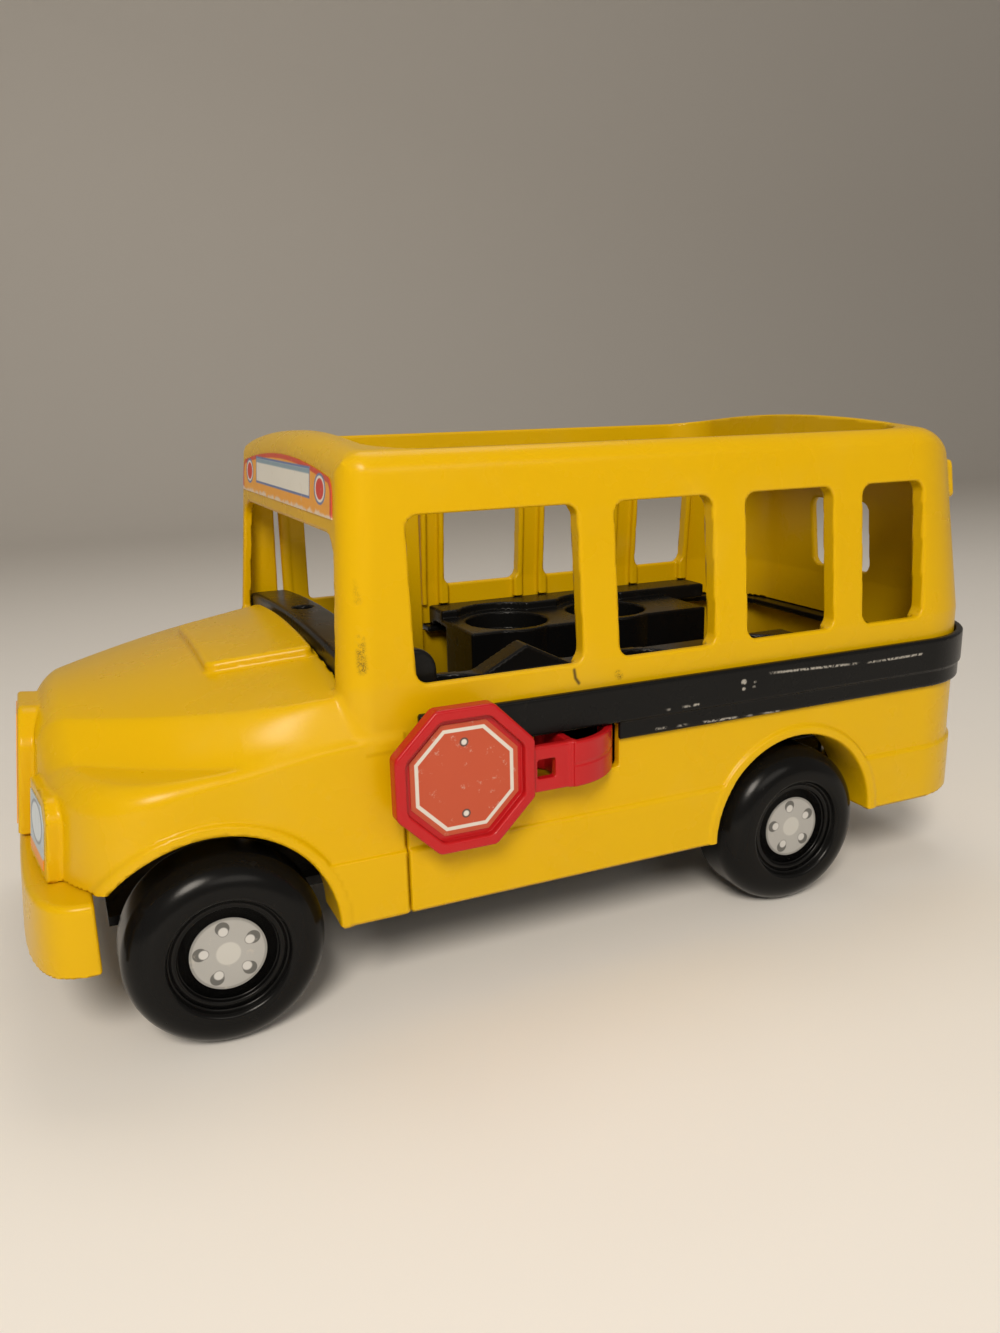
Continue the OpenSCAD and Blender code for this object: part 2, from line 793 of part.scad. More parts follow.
module lower_body() {
    arch_x = rear_x + rear_arch_shift;
    arch_r = axle_z + rear_arch_gap;
    low_x = seam_x + seat_gap;
    color("gold") place() difference() {
        union() {
            tail_wall(body_half, tail_x, rear_corner_r, wall, low_x, skirt_z, lower_top_z);
            tail_wall(body_half + band_out, tail_x + band_out, rear_corner_r + band_out,
                wall + band_out, low_x, skirt_z, step_z);
            both_sides() arch_lip(arch_x, arch_r);
            box([sign_axis_x - bracket_half, -lower_inner_half - wall / 2, bracket_z],
                [sign_axis_x + bracket_half, bracket_in - lower_inner_half, bracket_z + bracket_t]);
        }
        both_sides() arch_hole(arch_x, arch_r);
        box([arch_x - 2 * arch_r, -belt_half, -arch_r], [arch_x + 2 * arch_r, belt_half, skirt_z]);
        box([sign_axis_x - slot_front, -body_half - overrun, bracket_z + bracket_t],
            [slot_x, -lower_inner_half + overrun, lower_top_z + overrun]);
        box([seam_x, lower_inner_half - overrun, floor_z],
            [door_rear_x, body_half + overrun, lower_top_z + overrun]);
        translate([sign_axis_x, sign_axis_y, bracket_z - overrun])
            cylinder(d = sign_pin_d, h = bracket_t + 2 * overrun, $fn = round_fn);
    }
}

// Cross-section of the bumper at one place of its plan curve
function bumper_ring(turn) = [
    for (p = [[bumper_t, bumper_low_z], [bumper_t, bumper_top_z - bumper_t],
        [bumper_shelf, bumper_top_z - bumper_t], [bumper_shelf, bumper_top_z], [bumper_round, bumper_top_z],
        [0, bumper_top_z - bumper_round], [0, bumper_low_z]])
        let (
            out = bumper_flare * (bumper_top_z - p[1]) / (bumper_top_z - bumper_low_z),
            half = body_half - bumper_side_set - p[0],
            depth = bumper_depth + out - p[0])
        concat(nose_point(bumper_x - out + p[0], half, depth, bumper_power_share, turn), p[1])];

module front_bumper() {
    rings = [for (i = [0:plan_steps]) bumper_ring(mix(bumper_turn, -bumper_turn, i / plan_steps))];
    size = len(rings[0]);
    last = plan_steps * size;
    color("gold") place()
        polyhedron([for (ring = rings) each ring], concat(ring_faces(len(rings), size),
            [[for (j = [0:size - 1]) j]], [[for (j = [size - 1:-1:0]) last + j]]));
}

module belt_rail() {
    color("dimgray") place() difference() {
        union() {
            tail_wall(belt_half, belt_tail_x, belt_r, belt_t,
                belt_left_x, belt_top_z - belt_thin_h, belt_top_z);
            tail_wall(belt_half - belt_foot_in, belt_tail_x - belt_foot_in, belt_r - belt_foot_in,
                belt_t - belt_foot_in, belt_deep_x, belt_top_z - belt_deep_h, belt_top_z - belt_thin_h / 2);
            tail_wall(belt_half - belt_t / 2, belt_tail_x - belt_t / 2, belt_r - belt_t / 2,
                flange_in + belt_gap + belt_t / 2, belt_left_x, flange_z, flange_top_z);
            box([sign_axis_x - tab_half, sign_axis_y - tab_half, flange_z],
                [sign_axis_x + tab_half, sign_axis_y + tab_half, flange_top_z]);
        }
        box([belt_left_x - overrun, 0, flange_z - overrun],
            [belt_right_x, belt_half + overrun, belt_top_z + overrun]);
        translate([sign_axis_x, sign_axis_y, flange_z - overrun])
            cylinder(d = sign_pin_d, h = flange_t + 2 * overrun, $fn = round_fn);
    }
}

// Ring and floor of a seat cup
module cup_body(at) {
    translate([at[0], at[1], floor_z + well_h])
        cylinder(r = ring_r, h = at[2] - floor_z - well_h, $fn = round_fn);
}

module cup_hole(at) {
    translate([at[0], at[1], at[2] - cup_depth])
        difference() {
            union() {
                translate([0, 0, cup_step]) cylinder(r = cup_r, h = cup_depth, $fn = round_fn);
                cylinder(r = cup_r - cup_step, h = cup_depth, $fn = round_fn);
            }
            difference() {
                translate([0, 0, -overrun])
                    cylinder(r = cup_boss_r, h = cup_boss_h + overrun, $fn = round_fn);
                cylinder(r = cup_boss_bore_r, h = cup_depth, $fn = round_fn);
            }
        }
}

// Bench on one side, as a top plate with a skirt towards the aisle and a rail on the belt flange
module bench(x_low, x_high, way, top_z) {
    scale([1, way, 1]) {
        box([x_low, aisle_half, top_z - tray_t], [x_high, tray_half, top_z]);
        box([x_low, aisle_half, floor_z - tray_t], [x_high, aisle_half + tray_t, top_z]);
        for (x = [x_low, x_high - tray_t]) {
            box([x, aisle_half, floor_z - tray_t], [x + tray_t, floor_half, top_z]);
        }
        box([x_low, body_half - flange_in, upper_foot_z], [x_high, tray_half, top_z]);
    }
}

module dash() {
    half = inner_half - dash_margin;
    crown_r = (half * half + dash_crown * dash_crown) / (2 * dash_crown);
    intersection() {
        difference() {
            box([dash_x, -half, dash_z - dash_h], [dash_back_x, half, dash_z + dash_crown]);
            box([dash_x + tray_t, tray_t - half, dash_z - dash_h - overrun],
                [dash_back_x - tray_t, half - tray_t, dash_z - 2 * tray_t]);
        }
        translate([dash_x - overrun, 0, dash_z - crown_r])
            rotate([0, 90, 0]) cylinder(r = crown_r, h = dash_w + 2 * overrun, $fn = 4 * round_fn);
    }
}

module seat_tray() {
    cheek_y = -inner_half + rib_d + part_gap;
    color("dimgray") place() difference() {
        union() {
            box([dash_back_x - tray_t, -floor_half, floor_z - tray_t],
                [tail_x - wall - floor_tail_gap, floor_half, floor_z]);
            box([dash_back_x - tray_t, -floor_half, floor_z - tray_t],
                [dash_back_x, floor_half, dash_z - tray_t]);
            box([seam_x + overrun, 0, floor_z - tray_t],
                [door_rear_x - overrun, lower_inner_half - part_gap, floor_z]);
            dash();
            bench(dash_back_x, left_bench_x + tray_t, -1, bench_z);
            bench(left_bench_x, bench_end_x, -1, bench_z);
            bench(bench_x, bench_end_x, 1, bench_z);
            difference() {
                box([bench_x, tray_half - ledge_w, bench_z - tray_t], [tray_tail_x, tray_half, ledge_z]);
                for (at = right_cups) {
                    translate(at) cylinder(r = ring_r + part_gap, h = ledge_rise + overrun, $fn = round_fn);
                }
            }
            box([bench_end_x - tray_t, body_half - flange_in, upper_foot_z],
                [tray_tail_x, tray_half, ledge_z]);
            translate([dash_back_x + cheek_w, cheek_y, 0]) {
                box([-cheek_w - tray_t, 0, bench_z - tray_t],
                    [0, cheek_t, dash_z + cheek_rise - cheek_round_r]);
                box([-cheek_w - tray_t, 0, bench_z], [-cheek_round_r, cheek_t, dash_z + cheek_rise]);
                rod_y(-cheek_round_r, dash_z + cheek_rise - cheek_round_r, cheek_round_r, 0, cheek_t);
            }
            translate([left_bench_x + tray_t - divider_w, -aisle_half, bench_z])
                rotate([90, 0, 0]) linear_extrude(divider_t)
                    polygon([[0, 0], [divider_w, 0], [divider_w / 2, divider_rise]]);
            for (at = concat(right_cups, left_cups, [driver_cup])) {
                cup_body(at);
            }
            for (x = screw_x, side = [-1, 1]) {
                translate([x, side * screw_y, pan_top_z])
                    cylinder(r = post_r, h = floor_z - pan_top_z, $fn = round_fn);
            }
        }
        for (at = concat(right_cups, left_cups, [driver_cup])) {
            cup_hole(at);
        }
        translate([(dash_x + dash_back_x) / 2, dash_hole_y, dash_z - dash_hole_depth])
            cylinder(r = dash_hole_r, h = dash_hole_depth + dash_crown, $fn = round_fn);
        for (x = screw_x, side = [-1, 1]) {
            translate([x, side * screw_y, pan_top_z - overrun])
                cylinder(r = screw_r, h = screw_grip + 2 * overrun, $fn = round_fn);
        }
        translate([door_pin_x, door_pin_y, floor_z - tray_t - overrun])
            cylinder(d = door_pin_d, h = tray_t + 2 * overrun, $fn = round_fn);
    }
}

module underside_pan() {
    wing_half = lower_inner_half - band_out - part_gap;
    color("dimgray") place() difference() {
        union() {
            box([front_x - pan_nose_set, -pan_half, pan_z], [rear_x + pan_tail_set, pan_half, pan_top_z]);
            box([front_x + pan_wing_clear, -wing_half, pan_z],
                [rear_x - pan_wing_clear, wing_half, pan_top_z]);
            for (x = [front_x, rear_x], side = [-1, 1]) {
                saddle_y = side * (pan_half - saddle_w / 2) - saddle_w / 2;
                translate([x - saddle_l / 2, saddle_y, axle_z - saddle_drop])
                    cube([saddle_l, saddle_w, pan_z - axle_z + saddle_drop]);
            }
        }
        for (x = [front_x, rear_x]) {
            rod_y(x, axle_z, axle_d / 2 + bore_gap, -pan_half - overrun, pan_half + overrun);
        }
        for (x = screw_x, side = [-1, 1]) {
            translate([x, side * screw_y, pan_z - overrun])
                cylinder(r = screw_r + screw_gap, h = pan_t + 2 * overrun, $fn = round_fn);
        }
    }
}

module pan_screws() {
    color("silver") place() for (x = screw_x, side = [-1, 1]) {
        translate([x, side * screw_y, pan_z - screw_head_h]) {
            cylinder(r = screw_head_r, h = screw_head_h, $fn = round_fn);
            cylinder(r = screw_r, h = screw_head_h + pan_t + screw_grip, $fn = round_fn);
        }
    }
}

module axle(x) {
    reach = hub_face_y - axle_blind;
    color("silver") place() rod_y(x, axle_z, axle_d / 2, -reach, reach);
}

// Section of a wheel: radius, and depth measured inwards from its outer face
function arc(cx, cy, r, from, to, steps) = [
    for (i = [0:steps]) let (a = mix(from, to, i / steps)) [cx + r * cos(a), cy + r * sin(a)]];

module wheel_section() {
    dish_r = axle_z * dish_share;
    step_r = axle_z * dish_step_share;
    polygon(concat(
        [[0, dish_depth + dish_step], [step_r, dish_depth + dish_step],
            [step_r, dish_depth], [dish_r, dish_depth]],
        arc(dish_r + tyre_lip_r, tyre_lip_r, tyre_lip_r, 180, 270, edge_steps),
        arc(axle_z - tyre_round_r, tyre_round_r, tyre_round_r, -90, 0, edge_steps + edge_steps),
        arc(axle_z - tyre_lip_r, wheel_w - tyre_lip_r, tyre_lip_r, 0, 90, edge_steps),
        [[axle_z - wheel_wall - tyre_lip_r, wheel_w],
            [axle_z - wheel_wall - tyre_lip_r, dish_depth + dish_step + wheel_wall],
            [hub_r, dish_depth + dish_step + wheel_wall], [hub_r, wheel_w], [0, wheel_w]]));
}

// Wheel with its outer face towards one side, bored for the axle
module wheel(x, way) {
    color("dimgray") place() scale([1, way, 1]) translate([x, wheel_y, axle_z]) difference() {
        rotate([90, 0, 0]) rotate_extrude($fn = 2 * round_fn) wheel_section();
        rod_y(0, 0, axle_d / 2 - press, -wheel_w - overrun, hub_face_y - axle_blind - wheel_y);
    }
}

module hub_disc(x, way) {
    color("lightgray") place() scale([1, way, 1])
        rod_y(x, axle_z, hub_disc_d / 2, hub_face_y, hub_face_y + label_t);
}

module octagon(flats) {
    circle(d = flats / cos(180 / 8), $fn = 8);
}

// Octagonal prism with its outer face towards -Y
module octagon_plate(flats, face_y, back_y) {
    translate([sign_axis_x - sign_reach, back_y, sign_z])
        rotate([90, 0, 0]) linear_extrude(back_y - face_y) rotate(180 / 8) octagon(flats);
}

module stop_sign() {
    back_y = sign_face_y + sign_t;
    neck_y = sign_axis_y - drum_r + neck_in;
    neck_x = sign_axis_x - sign_reach + sign_size / 2;
    color("red") place() difference() {
        union() {
            octagon_plate(sign_size, sign_face_y, back_y);
            box([neck_x - sign_rim_w / 2, neck_y, drum_z],
                [sign_axis_x + web_t / 2, neck_y + neck_t, drum_top_z]);
            box([sign_axis_x - web_t / 2, neck_y, drum_z],
                [sign_axis_x + web_t / 2, sign_axis_y, drum_top_z]);
            translate([sign_axis_x, sign_axis_y, drum_z]) {
                cylinder(r = barrel_r, h = drum_h, $fn = round_fn);
                rotate([0, 0, 270]) rotate_extrude(angle = 90, $fn = 2 * round_fn) {
                    translate([drum_r - drum_t, 0]) square([drum_t, drum_h / 2]);
                    translate([drum_r - drum_t, 0]) square([drum_t - drum_seam, drum_h]);
                }
            }
        }
        octagon_plate(sign_size - 2 * sign_rim_w, sign_face_y - overrun, sign_face_y + sign_recess);
        translate([neck_x + neck_slot_gap, neck_y - overrun, (drum_z + drum_top_z - neck_slot_h) / 2])
            cube([neck_slot_w, neck_t + 2 * overrun, neck_slot_h]);
        translate([sign_axis_x, sign_axis_y, drum_z - overrun])
            cylinder(r = sign_pin_d / 2 + bore_gap, h = drum_h + 2 * overrun, $fn = round_fn);
    }
}

module sign_pin() {
    color("silver") place() translate([sign_axis_x, sign_axis_y, bracket_z])
        cylinder(d = sign_pin_d, h = flange_top_z - bracket_z, $fn = round_fn);
}

module sign_label() {
    face_y = sign_face_y + sign_recess;
    color("tomato") place()
        octagon_plate(sign_size - 2 * sign_rim_w - 2 * sign_label_margin, face_y - label_t, face_y);
}

module entry_door() {
    y_low = door_pin_y - door_t / 2;
    y_high = door_pin_y + door_t / 2;
    x_high = door_rear_x - door_edge_gap;
    color("gold") place() difference() {
        union() {
            box([door_pin_x, y_low, door_low_z], [x_high, y_high, door_high_z]);
            translate([door_pin_x, door_pin_y, door_low_z])
                cylinder(r = door_barrel_r, h = door_high_z - door_low_z, $fn = round_fn);
        }
        box([door_pin_x + door_stile_w, y_low - overrun, sill_z],
            [x_high - door_stile_w, y_high + overrun, door_high_z - door_rail_w]);
        box([door_pin_x + door_stile_w, y_high - door_panel_sink, door_low_z + door_rail_w],
            [x_high - door_stile_w, y_high + overrun, sill_z - door_rail_w]);
        translate([door_pin_x, door_pin_y, door_low_z - overrun])
            cylinder(d = door_pin_d + 2 * bore_gap, h = door_high_z - door_low_z + 2 * overrun,
                $fn = round_fn);
    }
}

module door_pin() {
    low = floor_z - tray_t;
    color("silver") place() translate([door_pin_x, door_pin_y, low])
        cylinder(d = door_pin_d, h = door_head_z + pin_grip - low, $fn = round_fn);
}

// Label over the windscreen: the flat of the header drawn in by a margin, leaning with the front wall
module header_label() {
    shoulder = roof_z - edge_r - front_roof_r;
    centre = wall_half(shoulder) - edge_r - front_corner_r;
    low = sill_z + header_low_up;
    r = edge_r - header_margin;
    corner = arc(centre, shoulder, r, 0, 90, edge_steps);
    crown = [for (i = [1:crown_steps]) let (t = 1 - i / crown_steps)
        [centre * t, shoulder + r + roof_crown * (1 - t * t)]];
    right = concat([[wall_half(low) - front_corner_r - header_margin, low]], corner, crown);
    left = [for (i = [len(right) - 2:-1:0]) [-right[i][0], right[i][1]]];
    color("orange") place() translate([cab_x - bore_gap - label_t, 0, sill_z])
        rotate([0, atan(front_lean_share), 0]) rotate([90, 0, 90]) translate([0, -sill_z])
            linear_extrude(label_t) polygon(concat(right, left));
}

module grille_label() {
    color("orange") place()
        nose_plate(0, 0, grille_out + bore_gap + label_t, label_t, grille_points(plate_margin));
}

module headlight_label(way) {
    color("lightblue") place() scale([1, way, 1])
        nose_plate(headlight_inner_y, headlight_turn, headlight_out + bore_gap + label_t, label_t,
            headlight_points(plate_margin));
}

upper_body();
lower_body();
front_bumper();
belt_rail();
seat_tray();
underside_pan();
pan_screws();
axle(front_x);  // front_axle
axle(rear_x);  // rear_axle
wheel(front_x, -1);  // wheel_front_left
wheel(front_x, 1);  // wheel_front_right
wheel(rear_x, -1);  // wheel_rear_left
wheel(rear_x, 1);  // wheel_rear_right
hub_disc(front_x, -1);  // hub_front_left
hub_disc(front_x, 1);  // hub_front_right
hub_disc(rear_x, -1);  // hub_rear_left
hub_disc(rear_x, 1);  // hub_rear_right
stop_sign();
sign_pin();
sign_label();
entry_door();
door_pin();
header_label();
grille_label();
headlight_label(-1);  // headlight_label_left
headlight_label(1);  // headlight_label_right
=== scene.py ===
import math

import bpy
import numpy as np
from mathutils import Matrix, Vector


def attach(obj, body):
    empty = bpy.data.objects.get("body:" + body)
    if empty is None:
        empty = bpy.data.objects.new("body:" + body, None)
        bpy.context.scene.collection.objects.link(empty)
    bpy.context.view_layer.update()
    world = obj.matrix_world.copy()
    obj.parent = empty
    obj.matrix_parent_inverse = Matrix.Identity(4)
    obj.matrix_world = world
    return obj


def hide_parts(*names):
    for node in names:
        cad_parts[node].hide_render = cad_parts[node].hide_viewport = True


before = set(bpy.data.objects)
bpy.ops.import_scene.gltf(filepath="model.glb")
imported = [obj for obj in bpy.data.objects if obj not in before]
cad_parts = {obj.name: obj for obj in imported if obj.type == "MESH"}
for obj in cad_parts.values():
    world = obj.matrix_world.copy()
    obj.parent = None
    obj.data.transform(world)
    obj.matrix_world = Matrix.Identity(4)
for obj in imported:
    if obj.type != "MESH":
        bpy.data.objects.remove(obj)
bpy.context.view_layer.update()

# Shapes are written in millimetres from the middle of the wheelbase,
# and moved to the row frame when their meshes are filled
SHIFT = np.array([-19.7, 4.4, 0.0])
MM_PER_M = 1000.0

# Sizes that several pieces share
WALL = 3.2
HALF_WIDTH = 80.4
CAB_HALF_WIDTH = 79.85
TAIL_X = 190
TAIL_R = 33
NOSE_X = -143
SEAM_X = -46
SKIRT_Z = 30.5
BAND_Z = 51
NOSE_END_Z = 52.3
SILL_Z = 100.8
WINDOW_TOP = 149.3
WINDOW_R = 4
SCREEN_SILL_Z = 94.8
HOOD_Z = 91.5
NOSE_RAKE = 0.116
SEAT_Z = 88.5
FRONT_ARCH = (-102.3, 31)
REAR_ARCH = (99, 31)
FRONT_ARCH_R, REAR_ARCH_R = 34.8, 33.3
FRONT_LIP_R, REAR_LIP_R = 36.6, 35.1
FRONT_LINER_R, REAR_LINER_R = 37, 35.5
ARCH_LIP = 1.9
LINER_Y = 62.4
WELL_Y = 61.4
SIGN_PIN = (5, -68.9)
SIGN_PIN_BORE = 1.6
SIGN_AT = (-30.3, 74.1)
ARM_Z = (65.4, 79.9)
DOOR_PIN = (-42, 73.7356)
DOOR_Z = (55.3, 149.3)
AXLES = (("front", -100), ("rear", 100))
AXLE_Z = 29
WHEEL_FACE_Y = 81.85
WHEEL_TURNS = 144
COS_45 = 0.70711


# Distance helpers: negative inside, rounded where two shapes meet
def rmax(a, b, r):
    return np.minimum(np.maximum(a, b), -r) + np.hypot(np.maximum(a + r, 0), np.maximum(b + r, 0))


def rmin(a, b, r):
    return np.maximum(np.minimum(a, b), r) - np.hypot(np.maximum(r - a, 0), np.maximum(r - b, 0))


def span(v, low, high):
    return np.abs(v - (low + high) / 2) - (high - low) / 2


def rect(u, v, u0, u1, v0, v1, r):
    a = span(u, u0, u1) + r
    b = span(v, v0, v1) + r
    return np.minimum(np.maximum(a, b), 0) + np.hypot(np.maximum(a, 0), np.maximum(b, 0)) - r


def block(x, y, z, low, high, r):
    return rmax(rect(x, y, low[0], high[0], low[1], high[1], r), span(z, low[2], high[2]), r)


def ease(t):
    return t * t * (3 - 2 * t)


def unit(t):
    return np.clip(t, 0, 1)


# Cab: flat sides leaning in, crowned roof, round corners front and rear
CAB_FRONT_X = -62.1
SIDE_LEAN, FRONT_LEAN, REAR_LEAN = 0.088, 0.075, 0.105
FRONT_R = 9
ROOF_Z = 167.7
ROOF_CROWN = 4.1
ROOF_HALF_WIDTH = 68.03
ROOF_FRONT_R, ROOF_SIDE_R, ROOF_REAR_R = 7, 6.5, 29


def cab(x, y, z):
    over = np.maximum(z - SILL_Z, 0)
    a = np.abs(y)
    side = a - (CAB_HALF_WIDTH - SIDE_LEAN * over)
    top = z - ROOF_Z - ROOF_CROWN * (1 - np.minimum(a / ROOF_HALF_WIDTH, 1) ** 2)
    front = FRONT_LEAN * over + CAB_FRONT_X - x
    rear = x - TAIL_X + REAR_LEAN * over
    plan = rmax(rmax(side, front, FRONT_R), rear, TAIL_R)
    roof = rmax(rmax(top, front, ROOF_FRONT_R), rear, ROOF_REAR_R)
    cf = np.sqrt(1 - unit(1 + front / FRONT_R) ** 2)
    cr = np.sqrt(1 - unit(1 + rear / TAIL_R) ** 2)
    return rmax(plan, roof, ROOF_SIDE_R * unit(2 * cf * cr - 1))


# Openings of the cab: start and width of each side window, ribs, roof, rear window and pods
LEFT_WINDOWS = ((-40.2, 54.9), (27.7, 36.2), (76.9, 36.2), (126.1, 27.5))
RIGHT_WINDOWS = LEFT_WINDOWS[1:]
RIB_SET_BACK = 0.25
RIB_HALF_WIDTH = 2.25
RIB_DEPTH = 6.0
RIB_Z = (92.3, 161.2)
DOOR_POST_X = 17
ROOF_HOLE = (-46.1, 154, -68.36, 68.36, 16)
ROOF_LIP_WIDTH = 2.2
ROOF_LIP_Z = 159.7
REAR_WINDOW = (-17.3, 17.3, 105, 135)
LAMP_POD = (46, 64, 141, 155, 2.5)
LAMP_POD_OUT = 2.2
RIBS_LEFT = [v for x0, w in LEFT_WINDOWS for v in (x0 - RIB_SET_BACK, x0 + w + RIB_SET_BACK)]
RIBS_RIGHT = [DOOR_POST_X + RIB_SET_BACK] + [
    v for x0, w in RIGHT_WINDOWS for v in (x0 - RIB_SET_BACK, x0 + w + RIB_SET_BACK)]


def side_ribs(x, places):
    d = np.abs(x - places[0]) - RIB_HALF_WIDTH
    for p in places[1:]:
        d = np.minimum(d, np.abs(x - p) - RIB_HALF_WIDTH)
    return d


def windows(x, z, places):
    return [rect(x, z, x0, x0 + w, SILL_Z, WINDOW_TOP, WINDOW_R) for x0, w in places]


def cab_openings(x, y, z, c, shape):
    a = np.abs(y)
    ribs = np.where(y < 0, side_ribs(x, RIBS_LEFT), side_ribs(x, RIBS_RIGHT))
    ribs = rmax(ribs, -(c + RIB_DEPTH), 1.0)
    ribs = np.maximum(np.maximum(ribs, c + 1), np.maximum(span(z, *RIB_Z), 60 - a))
    shape = rmin(shape, ribs, 1.0)
    hole = rect(x, y, *ROOF_HOLE)
    lip = np.maximum(np.maximum(hole - ROOF_LIP_WIDTH, ROOF_LIP_Z - z), c + 0.7)
    shape = rmin(shape, lip, 0.8)
    shape = rmax(shape, -np.maximum(hole, 150 - z), 1.0)
    left = np.minimum.reduce(np.broadcast_arrays(*windows(x, z, LEFT_WINDOWS)))
    doorway = rect(x, z, SEAM_X, DOOR_POST_X, 40, 150.1, 2)
    right = np.minimum.reduce(np.broadcast_arrays(doorway, *windows(x, z, RIGHT_WINDOWS)))
    shape = rmax(shape, -np.maximum(np.where(y < 0, left, right), 50 - a), 0.9)
    rear = rect(y, z, *REAR_WINDOW, WINDOW_R)
    shape = rmax(shape, -np.maximum(rear, 150 - x), 0.9)
    pods = rmax(rect(a, z, *LAMP_POD), c - LAMP_POD_OUT, 0.8)
    pods = np.maximum(np.maximum(pods, -(c + 1.6)), 157 - x)
    return rmin(shape, pods, 0.7)


# Plan curve of a front end, between an ellipse and a box, as a near distance
def oval(back, y, depth, half, steep):
    power = steep + 1
    least = 0.05
    u = np.maximum(back / depth, 0)
    v = np.abs(y) / half
    n = np.maximum((u ** power + v ** power) ** (1 / power), least)
    lengthwise = ((u / n) ** steep / depth) ** 2
    sideways = ((v / n) ** steep / half) ** 2
    return (n - 1) / np.sqrt(lengthwise + sideways + (least / half) ** 2)


# Nose: plan curve, hood and fender heights, plates, arches
NOSE_CURVE_X = -105
NOSE_DEPTH = 38
HOOD_LENGTH = 80.9
HOOD_HALF_WIDTH = (25.2, 47.3)
HOOD_CROWN_Z = (94.3, 11.2)
HOOD_EDGE_RISE = 7.4
FENDER_Z = 80.5
FENDER_FALL = 1.2
FENDER_BLEND = 15


def nose_plan(x, y, z):
    back = NOSE_CURVE_X - x + NOSE_RAKE * (z - HOOD_Z)
    return oval(back, y, NOSE_DEPTH, HALF_WIDTH, 1.8)


def hood_top(x, y):
    a = np.abs(y)
    t = unit((x - NOSE_X) / HOOD_LENGTH)
    half = HOOD_HALF_WIDTH[0] + HOOD_HALF_WIDTH[1] * (1 - (1 - t) ** 1.7)
    edge = HOOD_Z + HOOD_EDGE_RISE * t
    crown = HOOD_CROWN_Z[0] + HOOD_CROWN_Z[1] * t
    ridge = FENDER_Z + 4.3 * t + 2.7 * ease(unit((t - 0.55) / 0.45))
    shelf = ridge + FENDER_FALL * (1 - unit((a - half) / (HALF_WIDTH - half)))
    blend = np.minimum(FENDER_BLEND, 0.95 * (HALF_WIDTH - half))
    s = unit((a - half) / blend)
    start = -2 * (crown - edge) / half * blend
    outer = edge + (shelf - edge) * ease(s) + start * s * (1 - s) ** 2
    return np.where(a < half, crown + (edge - crown) * (a / half) ** 2, outer)


RAKE = math.atan(NOSE_RAKE)
PLATE_SLANT = 0.7071
GRILLE_HALF_WIDTH, GRILLE_TOP, GRILLE_CORNER, GRILLE_OUT = 20.5, 91, 102.5, 4.5
LAMP_WIDTH, LAMP_TOP, LAMP_CORNER, LAMP_OUT = 27, 76, 98.6, 1.2
LAMP_TURN = math.radians(8)
LAMP_Y = 33


def nose_plates(x, y, z):
    c, s = math.cos(RAKE), math.sin(RAKE)
    lx = (x - NOSE_X) * c - (z - HOOD_Z) * s
    lz = (x - NOSE_X) * s + (z - HOOD_Z) * c + HOOD_Z
    a = np.abs(y)
    grille = rmax(a - GRILLE_HALF_WIDTH, lz - GRILLE_TOP, 1.0)
    grille = rmax(grille, (a + lz - GRILLE_CORNER) * PLATE_SLANT, 2.0)
    grille = rmax(grille, -GRILLE_OUT - lx, 1.2)
    grille = rmax(grille, np.maximum(NOSE_END_Z - lz, lx - 4), 0.3)
    c, s = math.cos(LAMP_TURN), math.sin(LAMP_TURN)
    hx = lx * c - (a - LAMP_Y) * s
    hy = lx * s + (a - LAMP_Y) * c
    lamp = rmax(span(hy, 0, LAMP_WIDTH), lz - LAMP_TOP, 1.2)
    lamp = rmax(lamp, (hy + lz - LAMP_CORNER) * PLATE_SLANT, 1.5)
    lamp = rmax(lamp, -LAMP_OUT - hx, 0.6)
    lamp = rmax(lamp, np.maximum(NOSE_END_Z - lz, hx - 7), 0.3)
    return np.minimum(grille, lamp)


# Upper body: cab, nose, and what is cut from and added to them
CAB_BASE_Z = 83.7
CAB_ONLY_X = -38
SCREEN_HALF_WIDTH, SCREEN_LEAN = 69.85, 0.0868
SCREEN_TOP, SCREEN_R, SCREEN_BACK_X = 144, 8, -40
NOSE_ROOM_X = -50
PAD_X = (-93, -60.5)
PAD_HALF_WIDTH, PAD_WIDTH_X, PAD_FLARE = 33, -91, 0.25
PAD_HEIGHT = 3.3


